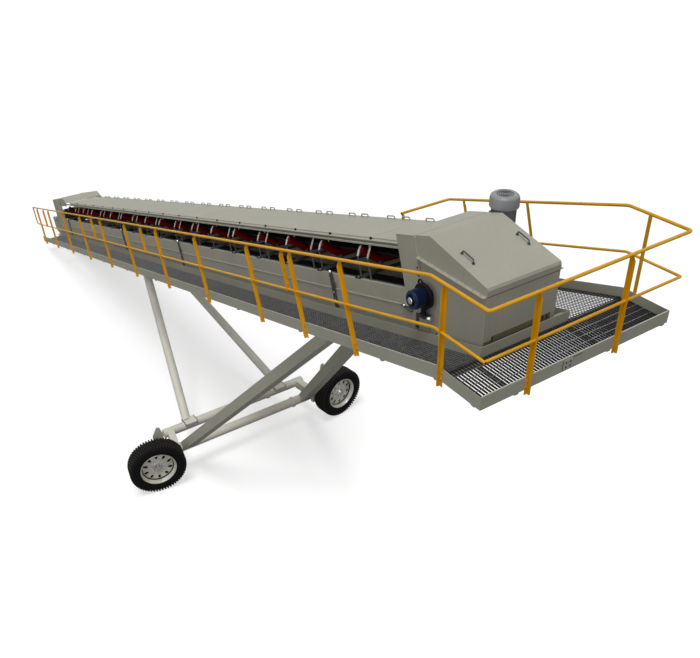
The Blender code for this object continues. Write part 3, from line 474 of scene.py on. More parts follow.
rails = Piece()
rail_bolts = Piece()
top_path = [
    on_slope(U_RAIL_END + LOOP_BACK, Y_NEAR_RAIL, RAIL_MID),
    on_slope(U_RAIL_END, Y_NEAR_RAIL, RAIL_MID),
    on_slope(U_RAIL_END, Y_NEAR_RAIL, RAIL_TOP),
    bend_point(Y_NEAR_RAIL, RAIL_TOP),
    level_point(X_FRONT_RAIL, Y_NEAR_RAIL, RAIL_TOP),
    level_point(X_FRONT_RAIL, Y_FAR_RAIL, RAIL_TOP),
    bend_point(Y_FAR_RAIL, RAIL_TOP),
    on_slope(CROSS_U, Y_FAR_RAIL, RAIL_TOP),
    on_slope(CROSS_U, CROSS_END_Y, RAIL_TOP),
]
near_path = [
    on_slope(U_RAIL_END + LOOP_BACK, Y_NEAR_RAIL, RAIL_MID),
    bend_point(Y_NEAR_RAIL, RAIL_MID),
    level_point(X_FRONT_RAIL + OPEN_END, Y_NEAR_RAIL, RAIL_MID),
]
front_path = [
    level_point(X_FRONT_RAIL, Y_NEAR_RAIL + 0.004, RAIL_MID),
    level_point(X_FRONT_RAIL, Y_FAR_RAIL, RAIL_MID),
    bend_point(Y_FAR_RAIL, RAIL_MID),
    on_slope(CROSS_U, Y_FAR_RAIL, RAIL_MID),
]
rails.tube(rounded(top_path, RAIL_CORNER), RAIL_R, 20)
rails.tube(rounded(near_path, RAIL_CORNER), MID_R, 18)
rails.tube(rounded(front_path, RAIL_CORNER * 0.5), MID_R, 18)
for u in NEAR_POST_U:
    post(side_place(u - POST_HALF, NEAR_FACE, -1.0, False), POST_LOW, FOOT_BOLTS)
for u in SPLICE_POST_U:
    post(side_place(u - POST_HALF, NEAR_FACE, -1.0, False), SPLICE_LOW, SPLICE_BOLTS)
post(side_place(NEAR_POST_X, NEAR_FACE, -1.0, True), POST_LOW, FOOT_BOLTS)
for y in FRONT_POST_Y:
    across = Matrix.Rotation(math.radians(-90.0), 4, "Z")
    post(Matrix.Translation((PLATFORM_X + 0.0003, y, DECK_Z)) @ across, POST_LOW, FOOT_BOLTS)
post(side_place(FAR_POST_X, FAR_FACE, 1.0, True), FAR_POST_LOW, FOOT_BOLTS)
for u in FAR_POST_U:
    post(side_place(u, FAR_FACE, 1.0, False), FAR_POST_LOW, FOOT_BOLTS)
stub_foot = (CROSS_U - POST_HALF, STUB_Y, RAIL_TOP - 0.16)
rails.box(stub_foot, (CROSS_U + POST_HALF, STUB_Y + POST_WALL, RAIL_TOP - 0.010), SLOPE)
rails.box(stub_foot, (CROSS_U - POST_HALF + POST_WALL, STUB_Y + 0.045, RAIL_TOP - 0.030), SLOPE)
rails.done("guard_rails", YELLOW, replaces=["near_rail", "front_rail", "far_rail"])
rail_bolts.done("guard_rail_bolts", BOLT)

# Dark red discs in the open ends of the rails: the bore's red primer, darkened as painted shade
BORE = 0.80
BORE_IN = 0.002
BORE_OUT = 0.0008
rail_ends = Piece()
mid_end = level_point(X_FRONT_RAIL + OPEN_END, Y_NEAR_RAIL, RAIL_MID)
bore_in = Vector((BORE_IN, 0.0, 0.0))
rail_ends.rod(mid_end - bore_in, mid_end + Vector((BORE_OUT, 0.0, 0.0)), MID_R * BORE, 18)
rail_ends.rod(
    on_slope(CROSS_U, CROSS_END_Y + BORE_IN, RAIL_TOP), on_slope(CROSS_U, CROSS_END_Y - BORE_OUT, RAIL_TOP),
    RAIL_R * BORE, 18,
)
rail_ends.rod(
    on_slope(CROSS_U + BORE_IN, Y_FAR_RAIL, RAIL_MID), on_slope(CROSS_U - 0.001, Y_FAR_RAIL, RAIL_MID),
    MID_R * BORE, 18,
)
rail_ends.done("rail_end_shade", PRIMER_SHADE)


# Gratings: bearing bars drawn dark as painted shade, black strips of painted shade along the edges when a
# band width is given, and cross rods in bright zinc
BAR_PITCH = 0.033
ROD_PITCH = 0.055
PLATE_PITCH = 0.046
PLATE_BAR = 0.008
PLATE_ROD_PITCH = 0.11
FAR_PITCH = 0.050
FAR_H = 0.012
FAR_SHADE_BAND = 0.05
SPAN_GAP = 0.004
END_BAR = 0.008
ROD_HALF = 0.003
ROD_INSET = 0.002
ROD_LOW = 0.007
ROD_HIGH = 0.0005


def grating(name, node, span, run, top, place, pitch, rod_pitch, deep, finish, thick=0.004, band=0.0):
    bars = Piece()
    rods = Piece()
    count = round((span[1] - span[0]) / pitch)
    for i in range(count + 1):
        y = span[0] + (span[1] - span[0] - thick) * i / count
        bars.box((run[0], y, top - deep), (run[1], y + thick, top), place)
    for a in run:
        low = min(max(a - END_BAR / 2.0, run[0]), run[1] - END_BAR)
        bars.box((low, span[0], top - deep), (low + END_BAR, span[1], top), place)
    count = round((run[1] - run[0]) / rod_pitch)
    for i in range(1, count):
        a = run[0] + (run[1] - run[0]) * i / count
        low = (a - ROD_HALF, span[0] + ROD_INSET, top - ROD_LOW)
        rods.box(low, (a + ROD_HALF, span[1] - ROD_INSET, top - ROD_HIGH), place)
    bars.done(name, finish, replaces=[node])
    rods.done(name + "_rods", GALV)
    # Black strips of painted shade along both edges of the grating
    if band > 0.0:
        dark = Piece()
        dark.box((run[0], span[0], top - GRATE_H), (run[1], span[0] + band, top - 0.001), place)
        dark.box((run[0], span[1] - band, top - GRATE_H), (run[1], span[1], top - 0.001), place)
        dark.done(name + "_shade_bands", BLACK)


near_span = (WALK_OUT + FASCIA_T + SPAN_GAP, WALK_IN - SPAN_GAP)
far_span = (FAR_IN + SPAN_GAP, FAR_OUT - FASCIA_T - SPAN_GAP)
plate_span = (near_span[0], far_span[1])
plate_run = (TOE_X + 0.012, PLATFORM_X - FASCIA_T - SPAN_GAP)
near_run = (U_WALK_TAIL + 0.01, -0.05)
far_run = (U_FAR_END + 0.01, -0.05)
grating("walkway_grating", "near_grating", near_span, near_run, GRATE_TOP, SLOPE,
        BAR_PITCH, ROD_PITCH, GRATE_H, WALK_SHADE)
grating("far_mesh", "far_grating", far_span, far_run, GRATE_TOP, SLOPE,
        FAR_PITCH, ROD_PITCH, FAR_H, GRATE_SHADE, band=FAR_SHADE_BAND)
grating("platform_mesh", "platform_grating", plate_span, plate_run, DECK_Z + GRATE_TOP, LEVEL,
        PLATE_PITCH, PLATE_ROD_PITCH, GRATE_H, GRATE_SHADE, thick=PLATE_BAR)

# Idlers: rollers, their end caps, legs with bent feet, pale tips and cross members; the dark legs and cross
# members are painted shade, the pale tips painted light
LEG_Y = 0.550
LEG_T = 0.0035
LEG_HALF = 0.018
LEG_TOP = 0.850
WING_LENGTH = 0.355
ROLLER_GAP = 0.004
BELT_GAP = 0.001
PIN_R = 0.010
BEAM_Y = 0.553
BEAM_HALF = 0.025
WEB_HALF = 0.004
STRIP_LOW = STRINGER_TOP + 0.0005
STRIP_TOP = STRINGER_TOP + 0.004
WEB_LOW = STRINGER_TOP + 0.010
BEAM_TOP = STRINGER_TOP + 0.012
PAD_TOP = STRINGER_TOP + 0.013
TOE_TOP = STRINGER_TOP + 0.020
MIDDLE_LOW = STRINGER_TOP + 0.045
WEB_TOP = STRINGER_TOP + 0.050
STRIP_Y = (0.525, 0.558)
STRIP_TAIL = -22.70
PAD_Y = (0.560, 0.599)
PAD_BOLT_Y = 0.580
rollers = Piece()
caps = Piece()
shaded_legs = Piece()
lit_tips = Piece()
feet = Piece()
foot_bolts = Piece()
wing_dir = {side: Vector((0.0, sign * math.cos(WING), math.sin(WING))) for side, sign in SIDES}
up_slope = (SLOPE.to_3x3() @ UP).normalized()
for i in range(IDLER_COUNT):
    u = IDLER_FIRST - IDLER_PITCH * i
    n_mid = BELT_LINE - ROLLER_R - BELT_GAP
    reach = FLAT_HALF - ROLLER_GAP
    rollers.rod(on_slope(u, -reach, n_mid), on_slope(u, reach, n_mid), ROLLER_R, 28)
    shaded_legs.rod(on_slope(u, -FLAT_HALF - 0.02, n_mid), on_slope(u, FLAT_HALF + 0.02, n_mid), PIN_R, 10)
    shaded_legs.box((u - BEAM_HALF, -BEAM_Y, STRIP_TOP), (u + BEAM_HALF, BEAM_Y, BEAM_TOP), SLOPE)
    shaded_legs.box((u - WEB_HALF, -BEAM_Y, WEB_LOW), (u + WEB_HALF, BEAM_Y, WEB_TOP), SLOPE)
    for side, sign in SIDES:
        start = Vector((u, sign * (FLAT_HALF + ROLLER_R * math.sin(WING)),
                        BELT_LINE - ROLLER_R * math.cos(WING) - BELT_GAP))
        inner = start + wing_dir[side] * ROLLER_GAP
        outer = start + wing_dir[side] * WING_LENGTH
        rollers.rod(SLOPE @ inner, SLOPE @ outer, ROLLER_R, 28)
        caps.rod(SLOPE @ outer, SLOPE @ (outer + wing_dir[side] * 0.004), ROLLER_R * 0.8, 24)
        shaded_legs.rod(SLOPE @ outer, SLOPE @ (outer + wing_dir[side] * 0.020), PIN_R, 10)
        wide = (u - LEG_HALF, u + LEG_HALF)
        shaded_legs.block(wide, on_side(sign, LEG_Y - LEG_T, LEG_Y + LEG_T), (STRIP_TOP, LEG_TOP), SLOPE)
        toe = on_side(sign, LEG_Y - 0.022, LEG_Y + 0.012)
        shaded_legs.block((u - 0.115, wide[0]), toe, (BEAM_TOP, TOE_TOP), SLOPE)
        crown = Vector((outer.y, outer.z)) + Vector((sign * 0.008, 0.0))
        lean = Vector((-sign * math.sin(WING), math.cos(WING)))
        tip = [
            (sign * (LEG_Y - LEG_T), LEG_TOP - 0.002), tuple(crown + Vector((sign * 0.002, 0.004))),
            tuple(crown + lean * 0.062), tuple(crown + lean * 0.066 + Vector((sign * 0.010, 0.0))),
            tuple(crown + Vector((sign * 0.016, 0.0))), (sign * (LEG_Y + LEG_T), LEG_TOP - 0.002),
        ]
        lit_tips.prism(tip, u - LEG_HALF - 0.001, u + LEG_HALF + 0.001, SLOPE, plane="bc")
        feet.block((u - 0.105, u + 0.025), on_side(sign, *PAD_Y), (STRIP_LOW, PAD_TOP), SLOPE)
        foot_bolts.bolt(on_slope(u - 0.03, sign * PAD_BOLT_Y, PAD_TOP), up_slope, 0.011, 0.010, 0.012)
        middle = on_side(sign, FLAT_HALF + 0.004, FLAT_HALF + 0.012)
        shaded_legs.block(wide, middle, (MIDDLE_LOW, n_mid + 0.016), SLOPE)
for side, sign in SIDES:
    strip_run = (STRIP_TAIL, U_HEAD_COLUMN - 0.02)
    shaded_legs.block(strip_run, on_side(sign, *STRIP_Y), (STRIP_LOW, STRIP_TOP), SLOPE)
rollers.done("rollers", RED, replaces=["idler_sets"])
caps.done("roller_caps", BLACK)
shaded_legs.done("idler_legs_painted_shade", DARK_GREY_AND_SHADE)
lit_tips.done("idler_tips_painted_light", LIT_BRACKET)
feet.done("idler_feet", BLACK)
foot_bolts.done("idler_foot_bolts", BOLT)

# Painted shade on the lower halves of the struts that carry the covers: thin dark sheets over their upright
# parts
STRUT_U = [-2.25, -3.87, -5.49, -7.16, -8.82, -9.92, -11.60, -13.20, -14.90, -16.50, -18.50, -19.80]
STRUT_SHADE_Y = (0.5644, 0.5716)
STRUT_SHADE_HALF = 0.0206
STRUT_SHADE_N = (STRINGER_TOP + 0.001, 0.838)
strut_shade = Piece()
for u in STRUT_U:
    for side, sign in SIDES:
        strut_shade.block((u - STRUT_SHADE_HALF, u + STRUT_SHADE_HALF), on_side(sign, *STRUT_SHADE_Y), STRUT_SHADE_N, SLOPE)
strut_shade.done("strut_painted_shade", DARK_GREY_AND_SHADE)

# Covers: folded sheets with a rolled near lip, bow handles, and a knob and a catch at each seam
HANDLE_AT = (-0.19, 0.19)
HANDLE_AT_FIRST = (-0.21,)
HANDLE_HALF = 0.095
HANDLE_Y = COVER_Y - 0.055
HANDLE_H = 0.045
HANDLE_R = 0.0105
LIP = 0.026
SHEET = [
    (COVER_Y, COVER_TOP - COVER_SKIRT), (COVER_Y, COVER_TOP - 0.006), (COVER_Y - 0.006, COVER_TOP),
    (-COVER_Y + 0.006, COVER_TOP), (-COVER_Y, COVER_TOP - 0.006), (-COVER_Y, COVER_TOP - 0.020),
    (-COVER_Y - LIP + 0.006, COVER_TOP - 0.030), (-COVER_Y - LIP, COVER_TOP - 0.036),
    (-COVER_Y - LIP, COVER_TOP - COVER_SKIRT), (-COVER_Y - LIP + COVER_T, COVER_TOP - COVER_SKIRT),
    (-COVER_Y - LIP + COVER_T, COVER_TOP - 0.038), (-COVER_Y + COVER_T, COVER_TOP - 0.025),
    (-COVER_Y + COVER_T, COVER_TOP - COVER_T), (COVER_Y - COVER_T, COVER_TOP - COVER_T),
    (COVER_Y - COVER_T, COVER_TOP - COVER_SKIRT),
]
SEAMS = [U_HEAD_COLUMN - 0.002 - MOVE_GAP / 2.0]
SEAMS += [SEAM_FIRST - IDLER_PITCH * k for k in range(COVER_COUNT)]
CATCH_Y = (-0.512, -0.5025)
CATCH_N = (0.990, 1.030)
CATCH_HALF = 0.006


def bow_handle(piece, place, centre, half, high, radius):
    centre = Vector(centre)
    along = Vector((1.0, 0.0, 0.0))
    corners = [
        centre - along * half - UP * 0.003, centre - along * half * 0.94 + UP * high,
        centre + along * half * 0.94 + UP * high, centre + along * half - UP * 0.003,
    ]
    piece.tube([place @ p for p in rounded(corners, 0.045)], radius, 12)
    for end in (corners[0], corners[-1]):
        piece.rod(place @ (end + UP * 0.0032), place @ (end + UP * 0.008), radius * 2.2, 14)


catches = Piece()
for k in range(COVER_COUNT):
    head = SEAMS[k] - MOVE_GAP / 2.0
    tail = SEAMS[k + 1] + MOVE_GAP / 2.0
    panel = "panel_%02d" % (k + 1)
    sheet = Piece()
    sheet.prism(SHEET, tail, head, SLOPE, plane="bc")
    for offset in (HANDLE_AT if k else HANDLE_AT_FIRST):
        spot = ((head + tail) / 2.0 + offset, HANDLE_Y, COVER_TOP)
        bow_handle(sheet, SLOPE, spot, HANDLE_HALF, HANDLE_H, HANDLE_R)
    sheet.done("cover_sheet_%02d" % (k + 1), PAINT, body=panel, replaces=["cover_%02d" % (k + 1)])
    knob = Piece()
    knob.ball((tail + 0.030, -COVER_Y - 0.008, COVER_TOP - 0.010), (0.030, 0.016, 0.018), SLOPE, 16)
    knob_low = (tail + 0.010, -COVER_Y - 0.016, COVER_TOP - 0.030)
    knob.box(knob_low, (tail + 0.050, -COVER_Y, COVER_TOP - 0.012), SLOPE)
    knob.done("cover_knob_%02d" % (k + 1), BLACK, body=panel)
    catches.block((tail - CATCH_HALF, tail + CATCH_HALF), CATCH_Y, CATCH_N, SLOPE)
catches.done("cover_catches", PAINT)

# Sill sheet on the frame below the covers' near lips
SILL = [
    (-0.461, 1.050), (-0.502, 1.036), (-0.502, 1.029),
    (-0.4985, 1.029), (-0.4985, 1.0335), (-0.461, 1.0465),
]
SILL_TAIL = -22.20
sill = Piece()
sill.prism(SILL, SILL_TAIL, U_HEAD_COLUMN - 0.01, SLOPE, plane="bc")
sill.done("cover_sill", PAINT)

# Straps over the near stringer, with domed heads and bow hooks
STRAP_U = [-21.54, -14.71, -10.10, -3.30]
STRAP_HALF = 0.044
STRAP_TOP = 0.545
STRAP_T = 0.008
STRAP_FACE = -STRINGER_Y - 0.0125
STRAP_BOLT_N = (0.12, 0.24)
BOW_OUT = 0.055
straps = Piece()
heads = Piece()
for u in STRAP_U:
    outline = [(u - STRAP_HALF, 0.0), (u - STRAP_HALF, STRAP_TOP)]
    for step in range(1, 8):
        angle = math.pi * step / 8.0
        outline.append((u - STRAP_HALF * math.cos(angle), STRAP_TOP + STRAP_HALF * math.sin(angle)))
    outline += [(u + STRAP_HALF, STRAP_TOP), (u + STRAP_HALF, 0.0)]
    straps.prism(outline, STRAP_FACE, STRAP_FACE - STRAP_T, SLOPE)
    outward = Vector((0.0, -1.0, 0.0))
    heads.ball((u, STRAP_FACE - 0.006, 0.560), (0.028, 0.022, 0.030), SLOPE, 18)
    for n in STRAP_BOLT_N:
        heads.bolt(on_slope(u, STRAP_FACE - STRAP_T, n), outward, 0.010, 0.008, 0.005)
    bow = [
        on_slope(u + STRAP_HALF - 0.004, STRAP_FACE - 0.005, 0.405),
        on_slope(u + STRAP_HALF + BOW_OUT, STRAP_FACE - STRAP_T, 0.400),
        on_slope(u + STRAP_HALF + BOW_OUT, STRAP_FACE - STRAP_T, 0.325),
        on_slope(u + STRAP_HALF - 0.004, STRAP_FACE - 0.005, 0.320),
    ]
    straps.tube(rounded(bow, 0.030), 0.006, 10)
straps.done("frame_straps", DARK)
heads.done("strap_heads", CHROME)

# Wheels: tyres with tread blocks, rims with hand holes, black sheets of painted shade behind the holes and
# inside the rim's barrel, hubs and nuts
SHOULDER = 0.80
SHOULDER_OUT = 0.93
TREAD_ROWS = 5
TREAD_BLOCKS = 60
TREAD_R = (0.61, 0.6435)
SIDE_BLOCK_R = (0.575, 0.636)
BLOCK_WIDE = (-0.018, 0.018)
BLOCK_GAP = 0.006
TYRE_OUTLINE = [
    (0.402, SHOULDER), (0.425, SHOULDER_OUT), (0.470, 1.0), (0.530, 1.0),
    (0.575, 0.96), (0.606, 0.84), (0.618, 0.74), (0.620, 0.5),
]
HOLE_COUNT = 10
HOLE_AT = 0.286
HOLE_SIZE = (0.058, 0.034)
HOLE_SIDES = 20
HUB_R = 0.118
HUB_HALF = 0.10
CAP_R = 0.085
CAP_TIP = 0.070
CAP_END = 0.135
NUT_COUNT = 10
NUT_RING = 0.145
NUT_FACE = 0.056


def plain_object(name, work):
    mesh = bpy.data.meshes.new(name)
    work.to_mesh(mesh)
    made = bpy.data.objects.new(name, mesh)
    bpy.context.scene.collection.objects.link(made)
    return made


def cut_holes(piece, cutter):
    bmesh.ops.recalc_face_normals(cutter.work, faces=cutter.work.faces)
    target = plain_object("cut", piece.work)
    tool = plain_object("tool", cutter.work)
    cutter.work.free()
    cut = target.modifiers.new("cut", "BOOLEAN")
    cut.operation = "DIFFERENCE"
    cut.solver = "EXACT"
    cut.object = tool
    bpy.context.view_layer.update()
    result = bpy.data.meshes.new_from_object(target.evaluated_get(bpy.context.evaluated_depsgraph_get()))
    piece.work.clear()
    piece.work.from_mesh(result)
    bpy.data.objects.remove(target, do_unlink=True)
    bpy.data.objects.remove(tool, do_unlink=True)


for side, sign in SIDES:
    axle = Matrix.Rotation(sign * WHEEL_YAW, 4, "Z") @ Matrix.Rotation(math.radians(90.0), 4, "Y")
    hub = Matrix.Translation((WHEEL_X, sign * WHEEL_Y, TYRE_R)) @ axle
    half = TYRE_W / 2.0
    tyre = Piece()
    outline = [(radius, -half * reach) for radius, reach in TYRE_OUTLINE]
    outline += [(radius, half * reach) for radius, reach in reversed(TYRE_OUTLINE)]
    tyre.lathe(outline, hub, 96)
    tread = Piece()
    for row in range(TREAD_ROWS):
        width = 2.0 * half * SHOULDER / TREAD_ROWS
        low = -half * SHOULDER + row * width + BLOCK_GAP
        high = -half * SHOULDER + row * width + width - BLOCK_GAP
        for k in range(TREAD_BLOCKS):
            angle = 2.0 * math.pi * (k + 0.5 * (row % 2)) / TREAD_BLOCKS
            turn = hub @ Matrix.Rotation(angle, 4, "Z")
            tread.block(TREAD_R, BLOCK_WIDE, (low, high), turn)
    for end in (-1.0, 1.0):
        for k in range(TREAD_BLOCKS):
            turn = hub @ Matrix.Rotation(2.0 * math.pi * k / TREAD_BLOCKS, 4, "Z")
            span = on_side(end, half * SHOULDER, half * SHOULDER_OUT)
            tread.block(SIDE_BLOCK_R, BLOCK_WIDE, span, turn)
    tyre.done("tyre_case_" + side, TYRE, body="wheel_" + side, replaces=["tyre_" + side], smooth=30.0)
    tread.done("tyre_tread_" + side, TREAD, body="wheel_" + side)

    rim = Piece()
    rim.lathe(
        [
            (0.398, -half * 0.80), (0.398, half * 0.78), (0.412, half * 0.86), (0.404, half * 0.95),
            (0.388, half * 0.92), (0.368, half * 0.62), (0.362, 0.058), (0.345, 0.060), (0.250, 0.072),
            (0.215, 0.086), (0.175, 0.088), (0.170, 0.072), (0.120, 0.068), (0.120, 0.056), (0.165, 0.058),
            (0.205, 0.072), (0.245, 0.060), (0.340, 0.048), (0.352, 0.046), (0.370, -half * 0.78),
        ],
        hub, 72,
    )
    holes = Piece()
    for k in range(HOLE_COUNT):
        turn = hub @ Matrix.Rotation(2.0 * math.pi * k / HOLE_COUNT, 4, "Z")
        outline = []
        for m in range(HOLE_SIDES):
            angle = 2.0 * math.pi * m / HOLE_SIDES
            outline.append((HOLE_AT + HOLE_SIZE[0] * math.cos(angle), HOLE_SIZE[1] * math.sin(angle)))
        holes.prism(outline, -0.02, 0.12, turn, plane="ab")
    cut_holes(rim, holes)
    rim.done("rim_disc_" + side, RIM, body="wheel_" + side, replaces=["rim_" + side], smooth=30.0)

    # Black sheets behind the disc and on the barrel's inner wall: painted shade
    rim_shade = Piece()
    rim_shade.lathe([(0.128, 0.030), (0.350, 0.030), (0.350, 0.034), (0.128, 0.034)], hub, 48)
    rim_shade.lathe([(0.346, 0.0605), (0.363, 0.0605), (0.366, 0.085), (0.352, 0.066)], hub, 64)
    rim_shade.done("rim_painted_shade_" + side, BLACK, body="wheel_" + side)

    hubs = Piece()
    hubs.rod(hub @ (UP * -HUB_HALF), hub @ (UP * HUB_HALF), HUB_R, 40)
    hubs.rod(hub @ (UP * HUB_HALF), hub @ (UP * CAP_END), CAP_R, 32, tip=CAP_TIP)
    outward = (hub.to_3x3() @ UP).normalized()
    for k in range(NUT_COUNT):
        angle = 2.0 * math.pi * (k + 0.5) / NUT_COUNT
        spot = Vector((NUT_RING * math.cos(angle), NUT_RING * math.sin(angle), NUT_FACE))
        hubs.bolt(hub @ spot, outward, 0.019, 0.024, 0.014)
    hubs.done("wheel_hub_" + side, CHROME, body="wheel_" + side)

# Motor with its fins, fan cowl and terminal box
shaft = on_slope(HEAD_PULLEY_U, 0.0, PULLEY_N)
MOTOR_AT = Vector((21.86, 0.79, 8.2403))
FIN_COUNT = 40
FIN_R = (0.138, 0.1648)
FIN_Z = (0.032, 0.398)
FIN_WIDE = (-0.0025, 0.0025)
FAN_RINGS = 4
FAN_STEP = 0.024
FAN_WIRE = 0.010
FAN_Z = (0.5662, 0.570)
motor = Piece()
stand = Matrix.Translation(MOTOR_AT)
motor.lathe(
    [(AXIS_R, 0.0), (0.165, 0.0), (0.165, 0.025), (0.157, 0.030), (0.157, 0.405), (AXIS_R, 0.405)],
    stand, 48,
)
for k in range(FIN_COUNT):
    turn = stand @ Matrix.Rotation(2.0 * math.pi * k / FIN_COUNT, 4, "Z")
    motor.block(FIN_R, FIN_WIDE, FIN_Z, turn)
motor.lathe(
    [
        (AXIS_R, 0.40), (0.186, 0.40), (0.1945, 0.410), (0.1945, 0.520), (0.184, 0.552), (0.160, 0.572),
        (0.120, 0.5785), (0.112, 0.566), (AXIS_R, 0.566),
    ],
    stand, 60,
)
motor.box((-0.205, -0.065, 0.13), (-0.120, 0.065, 0.28), stand)
motor.done("drive_motor", MOTOR, replaces=["motor"], smooth=30.0)
fan_grid = Piece()
for k in range(FAN_RINGS):
    inner = FAN_STEP + FAN_STEP * k
    outer = inner + FAN_WIRE
    fan_grid.lathe([(inner, FAN_Z[0]), (outer, FAN_Z[0]), (outer, FAN_Z[1]), (inner, FAN_Z[1])], stand, 40)
fan_grid.done("fan_grid", DARK)

# Gearbox ribs, cover bolts and the motor's flange bolts
gear_trim = Piece()
gear_bolts = Piece()
GEAR_FACE = 0.90
GEAR_Z = (shaft.z - 0.21, shaft.z + 0.23)
RIB_X = (-0.205, 0.0, 0.215)
RIB_T = 0.012
RIB_H = 0.014
GEAR_BOLTS = 8
COVER_RING = 0.12
FLANGE_RING = 0.152
gear_face = Matrix.Translation((shaft.x, GEAR_FACE, shaft.z)) @ Matrix.Rotation(math.radians(-90.0), 4, "X")
gear_trim.lathe([(0.06, 0.0), (0.14, 0.0), (0.13, 0.018), (0.06, 0.024)], gear_face, 40)
for x in RIB_X:
    gear_trim.block((shaft.x + x, shaft.x + x + RIB_T), (GEAR_FACE, GEAR_FACE + RIB_H), GEAR_Z)
face_out = Vector((0.0, GEAR_FACE + 0.02, 0.0))
for k in range(GEAR_BOLTS):
    angle = 2.0 * math.pi * (k + 0.5) / GEAR_BOLTS
    ring = Vector((math.cos(angle), 0.0, math.sin(angle))) * COVER_RING
    gear_bolts.bolt(shaft + ring + face_out, (0.0, 1.0, 0.0), 0.010, 0.009, 0.003)
    ring = Vector((math.cos(angle), math.sin(angle), 0.0)) * FLANGE_RING
    gear_bolts.bolt(MOTOR_AT + ring + UP * 0.025, UP, 0.009, 0.010, 0.003)
gear_trim.done("gearbox_trim", MOTOR)
gear_bolts.done("gearbox_bolts", BOLT)

# Backstop: dark flange, blue drum with a brighter end ring and a black disc of painted shade over its
# recess, shaft end, arm and lifting eye
near_way = Matrix.Translation(shaft) @ Matrix.Rotation(math.radians(90.0), 4, "X")
drum = Piece()
drum.lathe([(0.046, BODY_Y + 0.0003), (0.09, BODY_Y + 0.0003), (0.09, 0.645), (0.046, 0.645)], near_way, 40)
drum.lathe(
    [
        (0.05, 0.6885), (0.125, 0.6885), (0.125, 0.838), (0.118, 0.848), (0.070, 0.848), (0.068, 0.838),
        (0.05, 0.838),
    ],
    near_way, 56,
)
arm = [(-0.030, -0.27), (0.030, -0.27), (0.036, -0.16), (0.060, -0.10), (-0.060, -0.10), (-0.036, -0.16)]
drum.prism(arm, -0.6395, -0.6755, Matrix.Translation(shaft))
drum.done("backstop_drum", BLUE, replaces=["backstop"], smooth=30.0)
front_ring = Piece()
front_ring.lathe(
    [(0.076, 0.8482), (0.116, 0.8482), (0.114, 0.858), (0.108, 0.8605), (0.080, 0.8605)], near_way, 56,
)
front_ring.done("backstop_ring", BLUE_RING, smooth=30.0)
# Black disc over the drum's end recess: painted shade
recess = Piece()
recess.lathe([(0.05, 0.8482), (0.0755, 0.8482), (0.0755, 0.851), (0.05, 0.851)], near_way, 48)
recess.done("backstop_recess_shade", BLACK)
flange = Piece()
flange.lathe(
    [(0.05, 0.6402), (0.166, 0.6402), (0.170, 0.645), (0.170, 0.683), (0.165, 0.688), (0.05, 0.688)],
    near_way, 56,
)
EYE_AT = Vector((shaft.x - 0.077, -0.665, shaft.z + 0.158))
EYE_R = 0.036
EYE_WIRE = 0.012
EYE_SIDES = 12
eye = Matrix.Translation(EYE_AT) @ Matrix.Rotation(math.radians(90.0), 4, "X")
ring = []
for k in range(EYE_SIDES):
    angle = 2.0 * math.pi * k / EYE_SIDES
    ring.append((EYE_R + EYE_WIRE * math.cos(angle), EYE_WIRE * math.sin(angle)))
flange.lathe(ring, eye, 28)
flange.done("backstop_flange", BLACK, smooth=30.0)
shaft_end = Piece()
shaft_end.lathe(
    [(AXIS_R, 0.842), (0.042, 0.842), (0.043, 0.848), (0.043, 0.878), (0.038, 0.885), (AXIS_R, 0.885)],
    near_way, 40,
)
shaft_end.done("backstop_shaft_end", CHROME)

# Fittings beside the backstop: arm stop, oil cup, greaser and anchor plate
fittings = Piece()
bright = Piece()
FITTING_BACK = -STRINGER_Y - 0.0008
STOP_X = (21.891, 21.939)
STOP_Z = (7.33, 7.55)
SHELF_X = (21.60, 21.82)
SHELF_Z = (7.525, 7.537)
ANCHOR_X = (shaft.x - 0.060, shaft.x + 0.060)
ANCHOR_Y = (-0.70, -0.6005)
ANCHOR_Z = (shaft.z - 0.30, shaft.z - 0.272)
ANCHOR_BOLTS = (-0.045, 0.0, 0.045)
CUP_AT = Vector((21.665, -0.640, 7.530))
BRIGHT_Y = (-0.5810, -0.660)
BRIGHT_BALLS = ((22.202, 7.624, 0.034, 20, 0.010, 14), (22.152, 7.787, 0.014, 14, 0.006, 10))
fittings.block(STOP_X, (-STRINGER_Y - 0.022, FITTING_BACK), STOP_Z)
fittings.block(SHELF_X, (-STRINGER_Y - 0.050, FITTING_BACK), SHELF_Z)
fittings.block(ANCHOR_X, ANCHOR_Y, ANCHOR_Z)
bright.ball(CUP_AT + UP * 0.022, (0.019, 0.019, 0.019), LEVEL, 18)
bright.rod(CUP_AT, CUP_AT + UP * 0.015, 0.008, 12)
for x, z, size, detail, pin, sides in BRIGHT_BALLS:
    bright.ball((x, BRIGHT_Y[1], z), (size, size, size), LEVEL, detail)
    bright.rod((x, BRIGHT_Y[0], z), (x, BRIGHT_Y[1], z), pin, sides)
for x in ANCHOR_BOLTS:
    fittings.bolt((shaft.x + x, -0.675, ANCHOR_Z[1]), UP, 0.010, 0.010, 0.008)
fittings.done("backstop_fittings", DARK_GREY_AND_SHADE)
bright.done("bright_fittings", CHROME)

